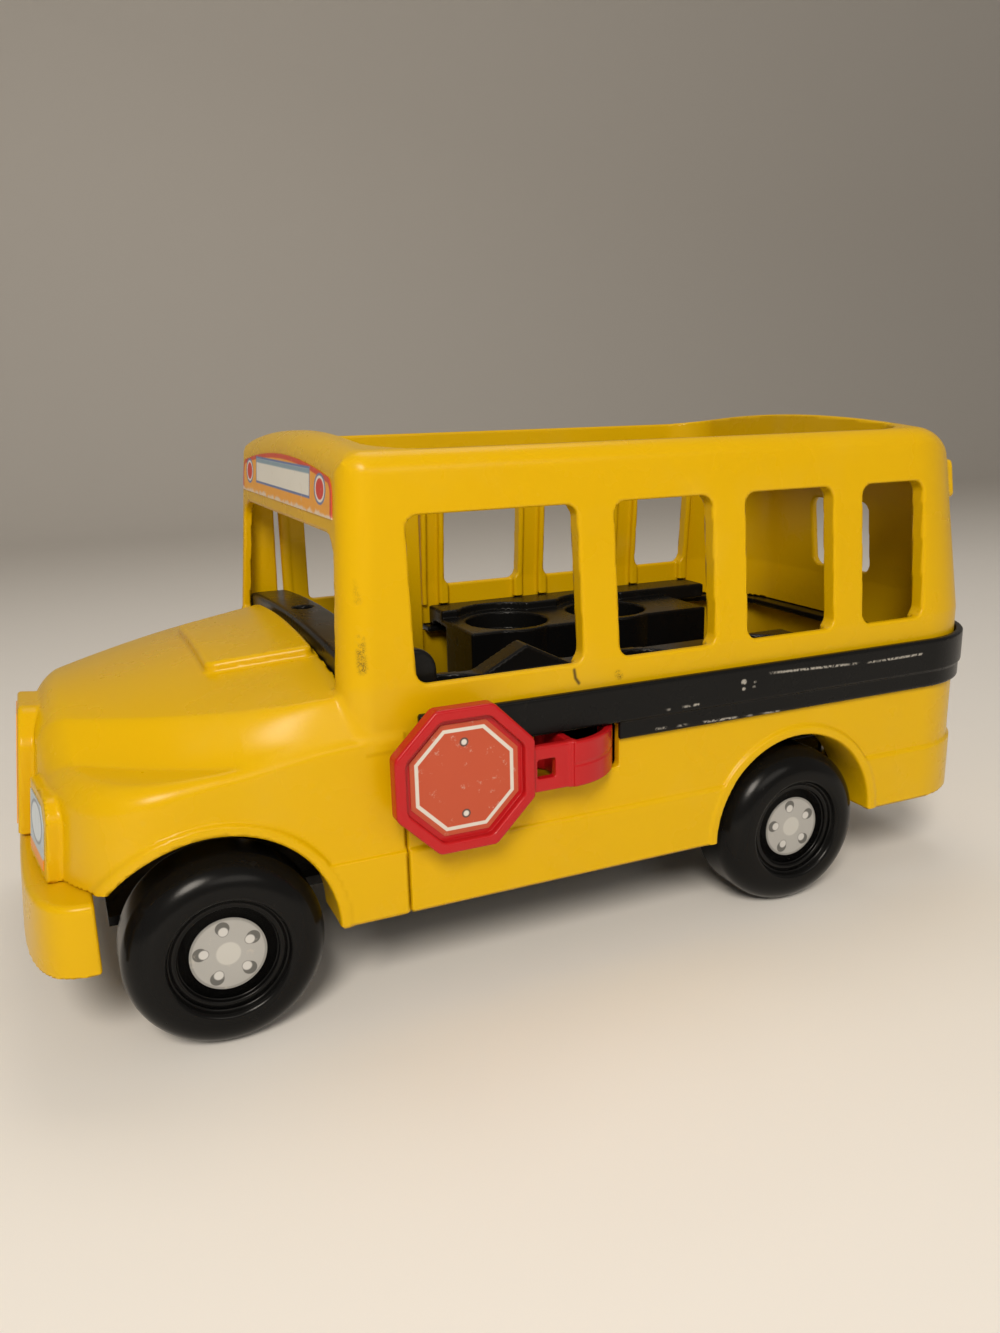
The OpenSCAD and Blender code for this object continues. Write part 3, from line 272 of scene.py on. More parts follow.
def upper_body(x, y, z):
    a = np.abs(y)
    c = cab(x, y, z)
    screen_half = SCREEN_HALF_WIDTH - SCREEN_LEAN * (z - SCREEN_SILL_Z)
    screen = rmax(a - screen_half, span(z, SCREEN_SILL_Z, SCREEN_TOP), SCREEN_R)
    skin = rmax(np.maximum(c, CAB_BASE_Z - z), -np.maximum(screen, x - SCREEN_BACK_X), 1.0)
    hollow = c + WALL
    front = x.min() < CAB_ONLY_X
    if front:
        plan = nose_plan(x, y, z)
        slope = (hood_top(x, y + 0.4) - hood_top(x, y - 0.4)) / 0.8
        top = (z - hood_top(x, y)) / np.sqrt(1.02 + slope * slope)
        solid = rmax(plan, top, 9 - 5.8 * unit((x - NOSE_X) / 45))
        arch = np.hypot(x - FRONT_ARCH[0], z - FRONT_ARCH[1])
        skin = rmin(skin, np.maximum(np.maximum(solid, x - SEAM_X), SKIRT_Z - z), 2.0)
        well = np.maximum(arch - FRONT_LINER_R, LINER_Y - a)
        inner = np.maximum(np.maximum(solid + WALL, x - NOSE_ROOM_X), -well)
        hollow = np.minimum(hollow, inner)
    shape = cab_openings(x, y, z, c, np.maximum(skin, -hollow))
    if front:
        pad_half = PAD_HALF_WIDTH + PAD_FLARE * (x - PAD_WIDTH_X)
        pad = rmax(a - pad_half, span(x, *PAD_X), 3)
        pad = np.maximum(rmax(pad, top - PAD_HEIGHT, 1.6), -2 - top)
        shape = rmin(shape, pad, 1.2)
        shape = rmin(shape, np.maximum(nose_plates(x, y, z), -(plan + 6)), 0.8)
        lip = rmax(np.abs(arch - FRONT_LIP_R) - ARCH_LIP, plan - 1.3, 1.1)
        lip = np.maximum(np.maximum(lip, -(plan + 2)), np.maximum(top + 4, SKIRT_Z - z))
        shape = rmin(shape, lip, 0.8)
        band = rmax(rmax(a - (HALF_WIDTH + 1), z - BAND_Z, 0.8), 78 - a, 0.3)
        band = np.maximum(np.maximum(band, FRONT_ARCH[0] - x), np.maximum(x - SEAM_X, SKIRT_Z - z))
        shape = rmin(shape, band, 0.5)
        shape = rmax(shape, -np.maximum(arch - FRONT_ARCH_R, WELL_Y - a), 0.8)
        shape = np.maximum(shape, -np.maximum(x - FRONT_ARCH[0], z - NOSE_END_Z))
    return shape


# Plan of the body behind the nose, and distance from the sign's pin
def tail(x, y, grow):
    half = HALF_WIDTH + grow
    return rect(x, y, -400, TAIL_X + grow, -half, half, TAIL_R + grow)


def from_sign_pin(x, y):
    return np.hypot(x - SIGN_PIN[0], y - SIGN_PIN[1])


# Lower body: skirt, rear arches, sign's slot and doorway
LOWER_TOP_Z = 80.7
LOWER_START_X = -45.7
SIGN_SLOT = (-3, 26.8, 65.1, 95)
SIGN_SHELF = ((-2, -79, 60.6), (12, -62.2, 65.1))
DOOR_SILL = (-60, DOOR_POST_X, 55, 95)


def lower_body(x, y, z):
    a = np.abs(y)
    wall = tail(x, y, 0)
    skin = rmin(rmax(wall, z - LOWER_TOP_Z, 0.6), rmax(wall - 1, z - BAND_Z, 0.8), 0.5)
    shape = np.maximum(np.maximum(skin, -(wall + WALL)), SKIRT_Z - z)
    arch = np.hypot(x - REAR_ARCH[0], z - REAR_ARCH[1])
    lip = rmax(np.abs(arch - REAR_LIP_R) - ARCH_LIP, a - 81.7, 1.1)
    liner = np.maximum(arch - REAR_LINER_R, span(a, LINER_Y, 79))
    shape = rmin(shape, np.maximum(lip, 78.8 - a), 0.8)
    shape = np.minimum(shape, np.maximum(liner, SKIRT_Z - z))
    shape = np.minimum(shape, block(x, y, z, *SIGN_SHELF, 0.6))
    shape = rmax(shape, -np.maximum(arch - REAR_ARCH_R, WELL_Y - a), 0.8)
    shape = rmax(shape, -np.maximum(rect(x, z, *SIGN_SLOT, 0.8), y + 70), 0.4)
    shape = rmax(shape, -np.maximum(rect(x, z, *DOOR_SILL, 0.8), 70 - y), 0.4)
    shape = np.maximum(shape, SIGN_PIN_BORE - from_sign_pin(x, y))
    return np.maximum(np.maximum(shape, LOWER_START_X - x), SKIRT_Z - z)


# Front bumper
BUMPER_BASE, BUMPER_TOP = 31, 52
BUMPER_WALL = 3
BUMPER_REACH = 15.8
BUMPER_FLARE = 1.6
BUMPER_CURVE_X, BUMPER_BACK_X = -126.8, -133.5
BUMPER_DEPTH = 25
BUMPER_HALF_WIDTH = 78


def bumper_plan(x, y, z):
    flare = BUMPER_FLARE * (BUMPER_TOP - z) / (BUMPER_TOP - BUMPER_BASE)
    return oval(BUMPER_CURVE_X - x, y, BUMPER_DEPTH + flare, BUMPER_HALF_WIDTH, 3.5)


def front_bumper(x, y, z):
    d = bumper_plan(x, y, z)
    skin = rmax(d, z - BUMPER_TOP, 2.0)
    hollow = rmax(d + BUMPER_WALL, z - (BUMPER_TOP - BUMPER_WALL), 0.6)
    shape = np.maximum(np.maximum(skin, -hollow), -(d + BUMPER_REACH))
    return rmax(np.maximum(shape, BUMPER_BASE - z), x - BUMPER_BACK_X, 1.0)


# Belt rail: thin above the sign arm, deep behind it
BELT_OUT = 2.8
BELT_DEPTH = 2.5
BELT_THIN_Z = (80.5, 92.7)
BELT_DEEP_Z = (74.6, 88)
BELT_DEEP_X = 26
BELT_FLANGE_Z = (81, 83.4)
BELT_START_LEFT, BELT_START_RIGHT = -41.2, 18.0


def belt_rail(x, y, z):
    edge = tail(x, y, BELT_OUT)
    back = -(edge + BELT_DEPTH)
    thin = rmax(rmax(edge, span(z, *BELT_THIN_Z), 0.9), back, 0.3)
    deep = rmax(rmax(edge + 0.8, span(z, *BELT_DEEP_Z), 0.9), back, 0.3)
    deep = rmax(deep, BELT_DEEP_X - x, 0.6)
    flange = np.maximum(np.maximum(edge + 1.2, -(edge + 12.7)), span(z, *BELT_FLANGE_Z))
    shape = np.minimum(rmin(thin, deep, 0.4), flange)
    low, high = BELT_FLANGE_Z
    shape = np.minimum(shape, block(x, y, z, (-1, -74.9, low), (11, -62.9, high), 0.5))
    start = np.where(y < 0, BELT_START_LEFT, BELT_START_RIGHT)
    shape = rmax(shape, start - x, 0.6)
    return np.maximum(shape, SIGN_PIN_BORE - from_sign_pin(x, y))


# Seat tray: floor, dash, benches, ledge, divider and cups
RIGHT_CUPS = ((44.5, 45), (93.0, 45))
LEFT_CUPS = ((59.5, -45), (108.0, -45), (-16.2, -45))
CUP_R, CUP_DEPTH = 17.6, 7.6
GROOVE_R, GROOVE_DEPTH = 16.2, 9
CUP_WALL_R, CUP_BASE_Z = 21.6, 71
BOSS_BORE, BOSS_R, BOSS_DROP = 4, 7.5, 5.2
BENCHES = ((-43.5, 33.5, -1), (30.5, 134, -1), (20.5, 134, 1))
TRAY_Z = (52, 55)
TRAY_HALF_WIDTH = 56
TRAY_FRONT_X = -46.5
PLATE = 3
BENCH_Y = (26, 76.2)
BENCH_LIP_Y, BENCH_LIP_Z = 70.4, 83.7
LEDGE_Z = 92
LEDGE_END_X = 156
DASH_X = (-58.5, -43.5)
DASH_HALF_WIDTH = 71.65
DASH_POCKET = (-51, 12, 3.6)


def bench(x, y, z, low, high, way):
    s = y * way
    near, wide = BENCH_Y
    base = TRAY_Z[0]
    shape = block(x, s, z, (low, near, SEAT_Z - PLATE), (high, wide, SEAT_Z), 0.9)
    shape = np.minimum(shape, block(x, s, z, (low, near, base), (high, near + PLATE, SEAT_Z), 0.9))
    for end in (low, high - PLATE):
        wall = block(x, s, z, (end, near, base), (end + PLATE, TRAY_HALF_WIDTH, SEAT_Z), 0.9)
        shape = np.minimum(shape, wall)
    lip = block(x, s, z, (low, BENCH_LIP_Y, BENCH_LIP_Z), (high, wide, SEAT_Z), 0.6)
    return np.minimum(shape, lip)


def seat_tray(x, y, z):
    base, floor = TRAY_Z
    half = TRAY_HALF_WIDTH
    shape = block(x, y, z, (TRAY_FRONT_X, -half, base), (184.3, half, floor), 0.6)
    front = block(x, y, z, (TRAY_FRONT_X, -half, base), (DASH_X[1], half, 103), 0.6)
    shape = np.minimum(shape, front)
    shape = np.minimum(shape, block(x, y, z, (-45, 0, base), (16, 76.6, floor), 0.6))
    crown = 106 + 3.5 * (1 - (y / DASH_HALF_WIDTH) ** 2)
    dash = rmax(rmax(span(x, *DASH_X), z - crown, 1.6), np.abs(y) - DASH_HALF_WIDTH, 1.2)
    hollow = np.maximum(np.maximum(span(x, -55.5, TRAY_FRONT_X), np.abs(y) - 68.6), z - 100)
    dash = np.maximum(np.maximum(dash, 86 - z), -hollow)
    pocket_x, pocket_y, pocket_r = DASH_POCKET
    pocket = np.hypot(x - pocket_x, y - pocket_y) - pocket_r
    dash = rmax(dash, -np.maximum(pocket, 102 - z), 0.5)
    shape = np.minimum(shape, dash)
    for low, high, way in BENCHES:
        shape = np.minimum(shape, bench(x, y, z, low, high, way))
    wide = BENCH_Y[1]
    ledge = block(x, y, z, (20.5, 59.3, 85.5), (LEDGE_END_X, wide, LEDGE_Z), 0.9)
    for cx, cy in RIGHT_CUPS:
        ledge = rmax(ledge, 22 - np.hypot(x - cx, y - cy), 0.6)
    shape = np.minimum(shape, ledge)
    lip = block(x, y, z, (131, BENCH_LIP_Y, BENCH_LIP_Z), (LEDGE_END_X, wide, LEDGE_Z), 0.9)
    shape = np.minimum(shape, lip)
    cheek = np.maximum(rect(x, z, -60, -31.5, 60, 110, 7), TRAY_FRONT_X - x)
    cheek = rmax(cheek, span(y, -73.2, -69.3), 1.0)
    shape = np.minimum(shape, np.maximum(cheek, 85.5 - z))
    ramp = rmax(np.abs(x - 16) * 0.457 + (z - 97.5) * 0.889, span(y, -36, -26), 0.8)
    shape = rmin(shape, np.maximum(ramp, 86.5 - z), 0.6)
    for cx, cy in RIGHT_CUPS + LEFT_CUPS:
        far = np.hypot(x - cx, y - cy)
        ring = rmax(far - CUP_WALL_R, z - SEAT_Z, 0.8)
        shape = np.minimum(shape, np.maximum(ring, CUP_BASE_Z - z))
        cup = np.maximum(far - CUP_R, SEAT_Z - CUP_DEPTH - z)
        groove = np.maximum(far - GROOVE_R, SEAT_Z - GROOVE_DEPTH - z)
        hole = np.minimum(cup, groove)
        shape = rmax(shape, -np.maximum(hole, z - SEAT_Z - 3), 0.7)
        boss = rmax(rmax(far - BOSS_R, z - SEAT_Z + BOSS_DROP, 0.7), BOSS_BORE - far, 0.5)
        shape = np.minimum(shape, np.maximum(boss, SEAT_Z - 10 - z))
    return np.maximum(shape, 1.35 - np.hypot(x - DOOR_PIN[0], y - DOOR_PIN[1]))


# Sign arm: octagonal tray, neck, web, barrel and drum
SIGN_HALF, SIGN_TRAY_HALF = 21.9, 18.5
SIGN_Y = (-92, -86.5)
SIGN_FLOOR_Y = -89.5
NECK_Y = (-90.4, -87.4)
NECK_HOLE = (-7, -1, 69.65, 75.65)
WEB_X = (3.7, 6.3)
DRUM_R = (19.9, 22.5)
DRUM_SEAM_Z = 72.65
BARREL_R = 4


def octagon(x, z, half):
    u, v = np.abs(x - SIGN_AT[0]), np.abs(z - SIGN_AT[1])
    return rmax(np.maximum(u, v) - half, (u + v) * COS_45 - half, 0.8)


def stop_sign(x, y, z):
    plate = rmax(octagon(x, z, SIGN_HALF), span(y, *SIGN_Y), 0.9)
    plate = rmax(plate, -np.maximum(octagon(x, z, SIGN_TRAY_HALF), y - SIGN_FLOOR_Y), 0.7)
    neck = rmax(rect(x, z, -10.1, WEB_X[1], *ARM_Z, 0.8), span(y, *NECK_Y), 0.7)
    neck = rmax(neck, -rect(x, z, *NECK_HOLE, 0.8), 0.5)
    web = rmax(rect(x, y, *WEB_X, NECK_Y[0], SIGN_PIN[1], 0.5), span(z, *ARM_Z), 0.5)
    far = from_sign_pin(x, y)
    barrel = rmax(far - BARREL_R, span(z, *ARM_Z), 0.5)
    seam = 0.25 * np.exp(-((z - DRUM_SEAM_Z) / 0.45) ** 2)
    drum = np.maximum(far - DRUM_R[1] + seam, DRUM_R[0] - far)
    drum = rmax(drum, span(z, *ARM_Z), 0.6)
    drum = rmax(rmax(drum, SIGN_PIN[0] - x, 0.3), y - SIGN_PIN[1], 0.6)
    shape = rmin(np.minimum(plate, barrel), rmin(neck, rmin(web, drum, 0.6), 0.8), 0.8)
    return np.maximum(shape, 1.55 - far)


# Entry door: a leaf with a pane and a sunk panel
DOOR_END_X = 16.2
DOOR_HALF = 1.6
DOOR_PANE_X = (-34, 8.2)


def entry_door(x, y, z):
    hinge_x, mid = DOOR_PIN
    far = np.hypot(x - hinge_x, y - mid)
    leaf = rect(x, z, hinge_x, DOOR_END_X, *DOOR_Z, 1.2)
    leaf = rmax(leaf, span(y, mid - DOOR_HALF, mid + DOOR_HALF), 0.7)
    leaf = np.minimum(leaf, rmax(far - 2.4, span(z, *DOOR_Z), 0.5))
    leaf = rmax(leaf, -rect(x, z, *DOOR_PANE_X, SILL_Z, 140.3, 2.5), 0.6)
    sink = np.maximum(rect(x, z, *DOOR_PANE_X, 64.3, 91.8, 2), mid + 0.8 - y)
    leaf = rmax(leaf, -sink, 0.4)
    return np.maximum(leaf, 1.3 - far)


# Mesh of a shape's surface, drawn onto it and shaded by its own slope
SLAB = 12
GRID_START = 2.037
GRID_END = 2.5
SETTLE_ROUNDS = 3
SETTLE_REACH = 0.04
NORMAL_REACH = 0.06
NORMAL_TRUST = 0.75
MOST_TRIANGLES = 185000


def field_at(field, p):
    return field(p[:, 0], p[:, 1], p[:, 2])


def gradient(field, p, h):
    g = np.empty_like(p)
    for k in range(3):
        q = p.copy()
        q[:, k] += h
        up = field_at(field, q)
        q[:, k] -= 2 * h
        g[:, k] = up - field_at(field, q)
    return g / (2 * h)


def settle(field, p, step):
    for _ in range(SETTLE_ROUNDS):
        f = field_at(field, p)
        g = gradient(field, p, SETTLE_REACH)
        move = -(f / np.maximum((g * g).sum(1), 0.05))[:, None] * g
        far = np.linalg.norm(move, axis=1, keepdims=True)
        q = p + move * np.minimum(1, 0.5 * step / np.maximum(far, 1e-6))
        better = np.abs(field_at(field, q)) < np.abs(f)
        p = np.where(better[:, None], q, p)
    return p


def net(field, low, high, step):
    axes = [np.arange(a - GRID_START * step, b + GRID_END * step, step) for a, b in zip(low, high)]
    shape = tuple(len(a) for a in axes)
    grid = np.empty(shape, np.float32)
    for i in range(0, shape[0], SLAB):
        xs = axes[0][i:i + SLAB].astype(np.float32)[:, None, None]
        ys = axes[1].astype(np.float32)[None, :, None]
        zs = axes[2].astype(np.float32)[None, None, :]
        grid[i:i + SLAB] = field(xs, ys, zs)
    inside = grid < 0
    cells, places, quads = [], [], []
    stride = (shape[1] * shape[2], shape[2], 1)
    for k in range(3):
        b, c = (k + 1) % 3, (k + 2) % 3
        first = [slice(None)] * 3
        second = [slice(None)] * 3
        first[k], second[k] = slice(0, -1), slice(1, None)
        at = np.argwhere(inside[tuple(first)] != inside[tuple(second)])
        here = tuple(at.T)
        end = at.copy()
        end[:, k] += 1
        g0 = grid[here].astype(float)
        g1 = grid[tuple(end.T)].astype(float)
        spot = at.astype(float)
        spot[:, k] += g0 / (g0 - g1)
        base = at @ np.array(stride)
        ring = [base - stride[b] - stride[c], base - stride[c], base, base - stride[b]]
        quad = np.stack(ring, 1)
        flip = g0 >= 0
        quad[flip] = quad[flip][:, ::-1]
        quads.append(quad)
        for corner in ring:
            cells.append(corner)
            places.append(spot)
    cells = np.concatenate(cells)
    places = np.concatenate(places)
    ids, inverse = np.unique(cells, return_inverse=True)
    count = np.bincount(inverse)
    points = np.stack([np.bincount(inverse, places[:, k]) / count for k in range(3)], 1)
    start = np.array([a[0] for a in axes])
    faces = np.searchsorted(ids, np.concatenate(quads))
    return start + points * step, faces


def to_metres(points):
    return ((points + SHIFT) / MM_PER_M).astype(np.float32).ravel()


def add_object(name, data):
    thing = bpy.data.objects.new(name, data)
    bpy.context.scene.collection.objects.link(thing)
    return thing


def fill_mesh(name, points, faces):
    mesh = bpy.data.meshes.new(name)
    mesh.vertices.add(len(points))
    mesh.vertices.foreach_set("co", to_metres(points))
    mesh.loops.add(faces.size)
    mesh.loops.foreach_set("vertex_index", faces.astype(np.int32).ravel())
    mesh.polygons.add(len(faces))
    starts = np.arange(len(faces), dtype=np.int32) * faces.shape[1]
    mesh.polygons.foreach_set("loop_start", starts)
    mesh.update(calc_edges=True)
    mesh.validate()
    return mesh


def shape_piece(name, field, low, high, step):
    points, faces = net(field, low, high, step)
    points = settle(field, points, step)
    mesh = fill_mesh(name, points, faces)
    piece = add_object(name, mesh)
    triangles = 2 * len(faces)
    if triangles > MOST_TRIANGLES:
        thin = piece.modifiers.new("thin", "DECIMATE")
        thin.ratio = MOST_TRIANGLES / triangles
        graph = bpy.context.evaluated_depsgraph_get()
        mesh = bpy.data.meshes.new_from_object(piece.evaluated_get(graph))
        piece.modifiers.clear()
        piece.data = mesh
        co = np.empty(len(mesh.vertices) * 3, np.float32)
        mesh.vertices.foreach_get("co", co)
        points = settle(field, co.reshape(-1, 3).astype(float) * MM_PER_M - SHIFT, step)
        mesh.vertices.foreach_set("co", to_metres(points))
    normal = gradient(field, points, NORMAL_REACH)
    normal /= np.maximum(np.linalg.norm(normal, axis=1, keepdims=True), 1e-9)
    mesh.shade_smooth()
    mesh.update()
    plain = np.empty(len(points) * 3, np.float32)
    mesh.vertex_normals.foreach_get("vector", plain)
    plain = plain.reshape(-1, 3)
    trusted = (normal * plain).sum(1) > NORMAL_TRUST
    normal = np.where(trusted[:, None], normal, plain)
    mesh.normals_split_custom_set_from_vertices(normal.tolist())
    return piece


# Wheel turned from a profile of radius and depth behind its outer face
def lathe(name, profile, x, face_y, way, turns):
    ring = np.arange(turns) * 2 * math.pi / turns
    rows = []
    for r, d in profile:
        y = np.full(turns, face_y * way - way * d)
        rows.append(np.stack([x + r * np.cos(ring), y, AXLE_Z + r * np.sin(ring)], 1))
    points = np.concatenate(rows)
    faces = []
    n = len(profile)
    for i in range(n):
        k = (i + 1) % n
        for j in range(turns):
            m = (j + 1) % turns
            quad = [i * turns + j, i * turns + m, k * turns + m, k * turns + j]
            faces.append(quad if way < 0 else quad[::-1])
    mesh = fill_mesh(name, points, np.array(faces))
    mesh.shade_smooth()
    return add_object(name, mesh)


# Numbers inside a material: arithmetic on them adds math nodes
class Value:
    def __init__(self, made, socket):
        self.made = made
        self.socket = socket

    def op(self, kind, *others):
        node = self.made.nodes.new("ShaderNodeMath")
        node.operation = kind
        for i, v in enumerate((self,) + others):
            if isinstance(v, Value):
                self.made.links.new(v.socket, node.inputs[i])
            else:
                node.inputs[i].default_value = v
        return Value(self.made, node.outputs[0])

    def __add__(self, o):
        return self.op("ADD", o)

    def __sub__(self, o):
        return self.op("SUBTRACT", o)

    def __mul__(self, o):
        return self.op("MULTIPLY", o)

    def __truediv__(self, o):
        return self.op("DIVIDE", o)

    def __abs__(self):
        return self.op("ABSOLUTE")

    def larger(self, o):
        return self.op("MAXIMUM", o)

    def smaller(self, o):
        return self.op("MINIMUM", o)

    def root(self):
        return self.op("SQRT")

    def sine(self):
        return self.op("SINE")

    def below(self, edge, soft):
        node = self.made.nodes.new("ShaderNodeMapRange")
        node.interpolation_type = "SMOOTHSTEP"
        self.made.links.new(self.socket, node.inputs[0])
        node.inputs[1].default_value = edge - soft
        node.inputs[2].default_value = edge + soft
        node.inputs[3].default_value = 1.0
        node.inputs[4].default_value = 0.0
        return Value(self.made, node.outputs[0])

    def spread(self, low, high):
        node = self.made.nodes.new("ShaderNodeMapRange")
        self.made.links.new(self.socket, node.inputs[0])
        node.inputs[3].default_value = low
        node.inputs[4].default_value = high
        return Value(self.made, node.outputs[0])


# A material with its shader, its place in millimetres, and ways to colour it
class Surface:
    def __init__(self, name):
        self.material = bpy.data.materials.new(name)
        self.material.use_nodes = True
        tree = self.material.node_tree
        self.nodes, self.links = tree.nodes, tree.links
        self.shader = tree.nodes["Principled BSDF"]
        self.place = self.nodes.new("ShaderNodeTexCoord").outputs["Object"]
        split = self.nodes.new("ShaderNodeSeparateXYZ")
        self.links.new(self.place, split.inputs[0])
        self.x = Value(self, split.outputs[0]) * MM_PER_M - SHIFT[0]
        self.y = Value(self, split.outputs[1]) * MM_PER_M - SHIFT[1]
        self.z = Value(self, split.outputs[2]) * MM_PER_M

    def noise(self, scale, detail=3.0, rough=0.55):
        node = self.nodes.new("ShaderNodeTexNoise")
        node.inputs["Scale"].default_value = scale
        node.inputs["Detail"].default_value = detail
        node.inputs["Roughness"].default_value = rough
        self.links.new(self.place, node.inputs["Vector"])
        return Value(self, node.outputs[0])

    def mix(self, share, a, b):
        node = self.nodes.new("ShaderNodeMix")
        node.data_type = "RGBA"
        self.links.new(share.socket, node.inputs[0])
        for socket, c in ((node.inputs[6], a), (node.inputs[7], b)):
            if isinstance(c, tuple):
                socket.default_value = c + (1.0,)
            else:
                self.links.new(c, socket)
        return node.outputs[2]

    def feed(self, name, v):
        if isinstance(v, Value):
            v = v.socket
        if isinstance(v, (int, float)):
            self.shader.inputs[name].default_value = v
        else:
            self.links.new(v, self.shader.inputs[name])

    def bump(self, height, depth, strength=1.0):
        node = self.nodes.new("ShaderNodeBump")
        node.inputs["Strength"].default_value = strength
        node.inputs["Distance"].default_value = depth
        self.links.new(height.socket, node.inputs["Height"])
        self.links.new(node.outputs[0], self.shader.inputs["Normal"])

    def ring(self, u, v):
        return (u * u + v * v).root()

    def stroke(self, a, b, width, soft):
        ax, ay, az = a
        d = [q - p for p, q in zip(a, b)]
        size = max(sum(v * v for v in d), 1e-6)
        px, py, pz = self.x - ax, self.y - ay, self.z - az
        t = ((px * d[0] + py * d[1] + pz * d[2]) / size).larger(0.0).smaller(1.0)
        ex, ey, ez = px - t * d[0], py - t * d[1], pz - t * d[2]
        return (ex * ex + ey * ey + ez * ez).root().below(width, soft)


# Rubbed marks and a thin scratch on the yellow shells: two ends, and a width
RUBS = (
    ((-57.1, -77.1, 132.3), (-56.4, -77.7, 127), 1.5),
    ((-56.4, -78.5, 115.7), (-56.4, -79.3, 107.5), 1.5),
    ((26.6, -79.8, 95.9), (27.3, -79.8, 95.0), 0.9),
    ((87.2, -76, 165.4), (98.5, -76, 165.6), 0.5),
    ((-122, 5, 92), (-121, 20, 92), 0.5),
    ((-112, 16, 92), (-111, 33, 92), 0.5),
    ((-131, -27, 90), (-131, -25, 90), 0.6),
)
SCRATCH = ((11.0, -79.8, 99.0), (11.4, -79.8, 96.4), (12.6, -79.8, 94.6))


def yellow():
    s = Surface("yellow_plastic")
    cloud = s.noise(9.0, 2.0)
    fine = s.noise(420.0, 2.0)
    base = s.mix(cloud, (0.655, 0.385, 0.0002), (0.71, 0.435, 0.0004))
    grain = s.noise(3800.0, 2.0, 0.6).below(0.52, 0.06) * s.noise(420.0, 2.0).below(0.56, 0.1)
    marks = None
    for a, b, width in RUBS:
        stroke = s.stroke(a, b, width, 0.9)
        marks = stroke if marks is None else marks.larger(stroke)
    marks = marks * grain
    for a, b in zip(SCRATCH, SCRATCH[1:]):
        marks = marks.larger(s.stroke(a, b, 0.5, 0.45))
    base = s.mix(marks * 0.9, base, (0.045, 0.022, 0.008))
    dust = s.noise(26.0, 4.0).below(0.36, 0.12)
    base = s.mix(dust * 0.05, base, (0.62, 0.5, 0.22))
    s.feed("Base Color", base)
    s.feed("Roughness", s.noise(35.0, 4.0).spread(0.21, 0.35) + marks * 0.3)
    s.feed("Specular IOR Level", 0.2)
    s.feed("Subsurface Weight", 0.06)
    s.shader.inputs["Subsurface Radius"].default_value = (0.004, 0.002, 0.0003)
    s.bump(fine * 0.3 + s.noise(70.0, 2.0) * 0.5, 0.00004, 0.4)
    return s.material


# Pale scuffs and specks on the belt
SCUFFS = (
    ((33.2, -83.2, 82.3), (55.0, -83.2, 82.6)),
    ((82.3, -83.2, 89.5), (131.2, -83.2, 87.8)),
    ((131.2, -83.2, 87.8), (151.3, -83.2, 87.9)),
    ((39.6, -82.4, 76.3), (90.2, -82.4, 75.1)),
)
SPECKS = (
    ((72.7, -83.2, 87.8), 0.85),
    ((72.8, -83.2, 85.4), 0.5),
    ((77.3, -83.2, 87.2), 0.3),
    ((76.9, -83.2, 85.6), 0.3),
)


def black(name, base, rough, marked):
    s = Surface(name)
    cloud = s.noise(30.0, 3.0)
    colour = s.mix(cloud, base, tuple(v * 1.6 for v in base))
    dust = s.noise(90.0, 6.0, 0.7).below(0.34, 0.06)
    colour = s.mix(dust * 0.06, colour, (0.09, 0.085, 0.075))
    if marked:
        scuff = s.stroke(*SCUFFS[0], 0.35, 0.3)
        for a, b in SCUFFS[1:]:
            scuff = scuff.larger(s.stroke(a, b, 0.35, 0.3))
        scuff = scuff * s.noise(110.0, 2.0).below(0.5, 0.06)
        scuff = scuff * s.noise(900.0, 3.0).below(0.54, 0.08)
        for spot, size in SPECKS:
            dot = s.stroke(spot, (spot[0] + 0.4, spot[1], spot[2]), size, 0.3)
            scuff = scuff.larger(dot * s.noise(1100.0, 2.0).below(0.56, 0.12))
        colour = s.mix(scuff * 0.85, colour, (0.42, 0.40, 0.36))
    s.feed("Base Color", colour)
    s.feed("Roughness", s.noise(55.0, 4.0).spread(rough - 0.07, rough + 0.09) + dust * 0.2)
    s.feed("Specular IOR Level", 0.15)
    s.bump(s.noise(500.0, 2.0) * 0.4 + s.noise(80.0, 2.0), 0.00006, 0.5)
    return s.material


def red():
    s = Surface("red_plastic")
    s.feed("Base Color", s.mix(s.noise(24.0, 3.0), (0.42, 0.005, 0.008), (0.50, 0.010, 0.013)))
    s.feed("Roughness", s.noise(60.0, 4.0).spread(0.17, 0.31))
    s.feed("Specular IOR Level", 0.35)
    s.bump(s.noise(90.0, 3.0), 0.00008, 0.5)
    return s.material


def steel():
    s = Surface("steel")
    s.feed("Base Color", s.mix(s.noise(200.0, 4.0), (0.48, 0.48, 0.47), (0.66, 0.66, 0.65)))
    s.feed("Metallic", 1.0)
    s.feed("Roughness", s.noise(400.0, 3.0).spread(0.2, 0.42))
    s.bump(s.noise(900.0, 2.0), 0.00003, 0.4)
    return s.material


def worn_print(s, colour, rough=0.42):
    specks = s.noise(260.0, 5.0, 0.75).below(0.36, 0.05)
    colour = s.mix(specks * 0.35, colour, (0.62, 0.57, 0.48))
    s.feed("Base Color", colour)
    s.feed("Roughness", s.noise(140.0, 3.0).spread(rough - 0.1, rough + 0.1))
    s.bump(s.noise(700.0, 2.0), 0.00002, 0.4)
    return s.material


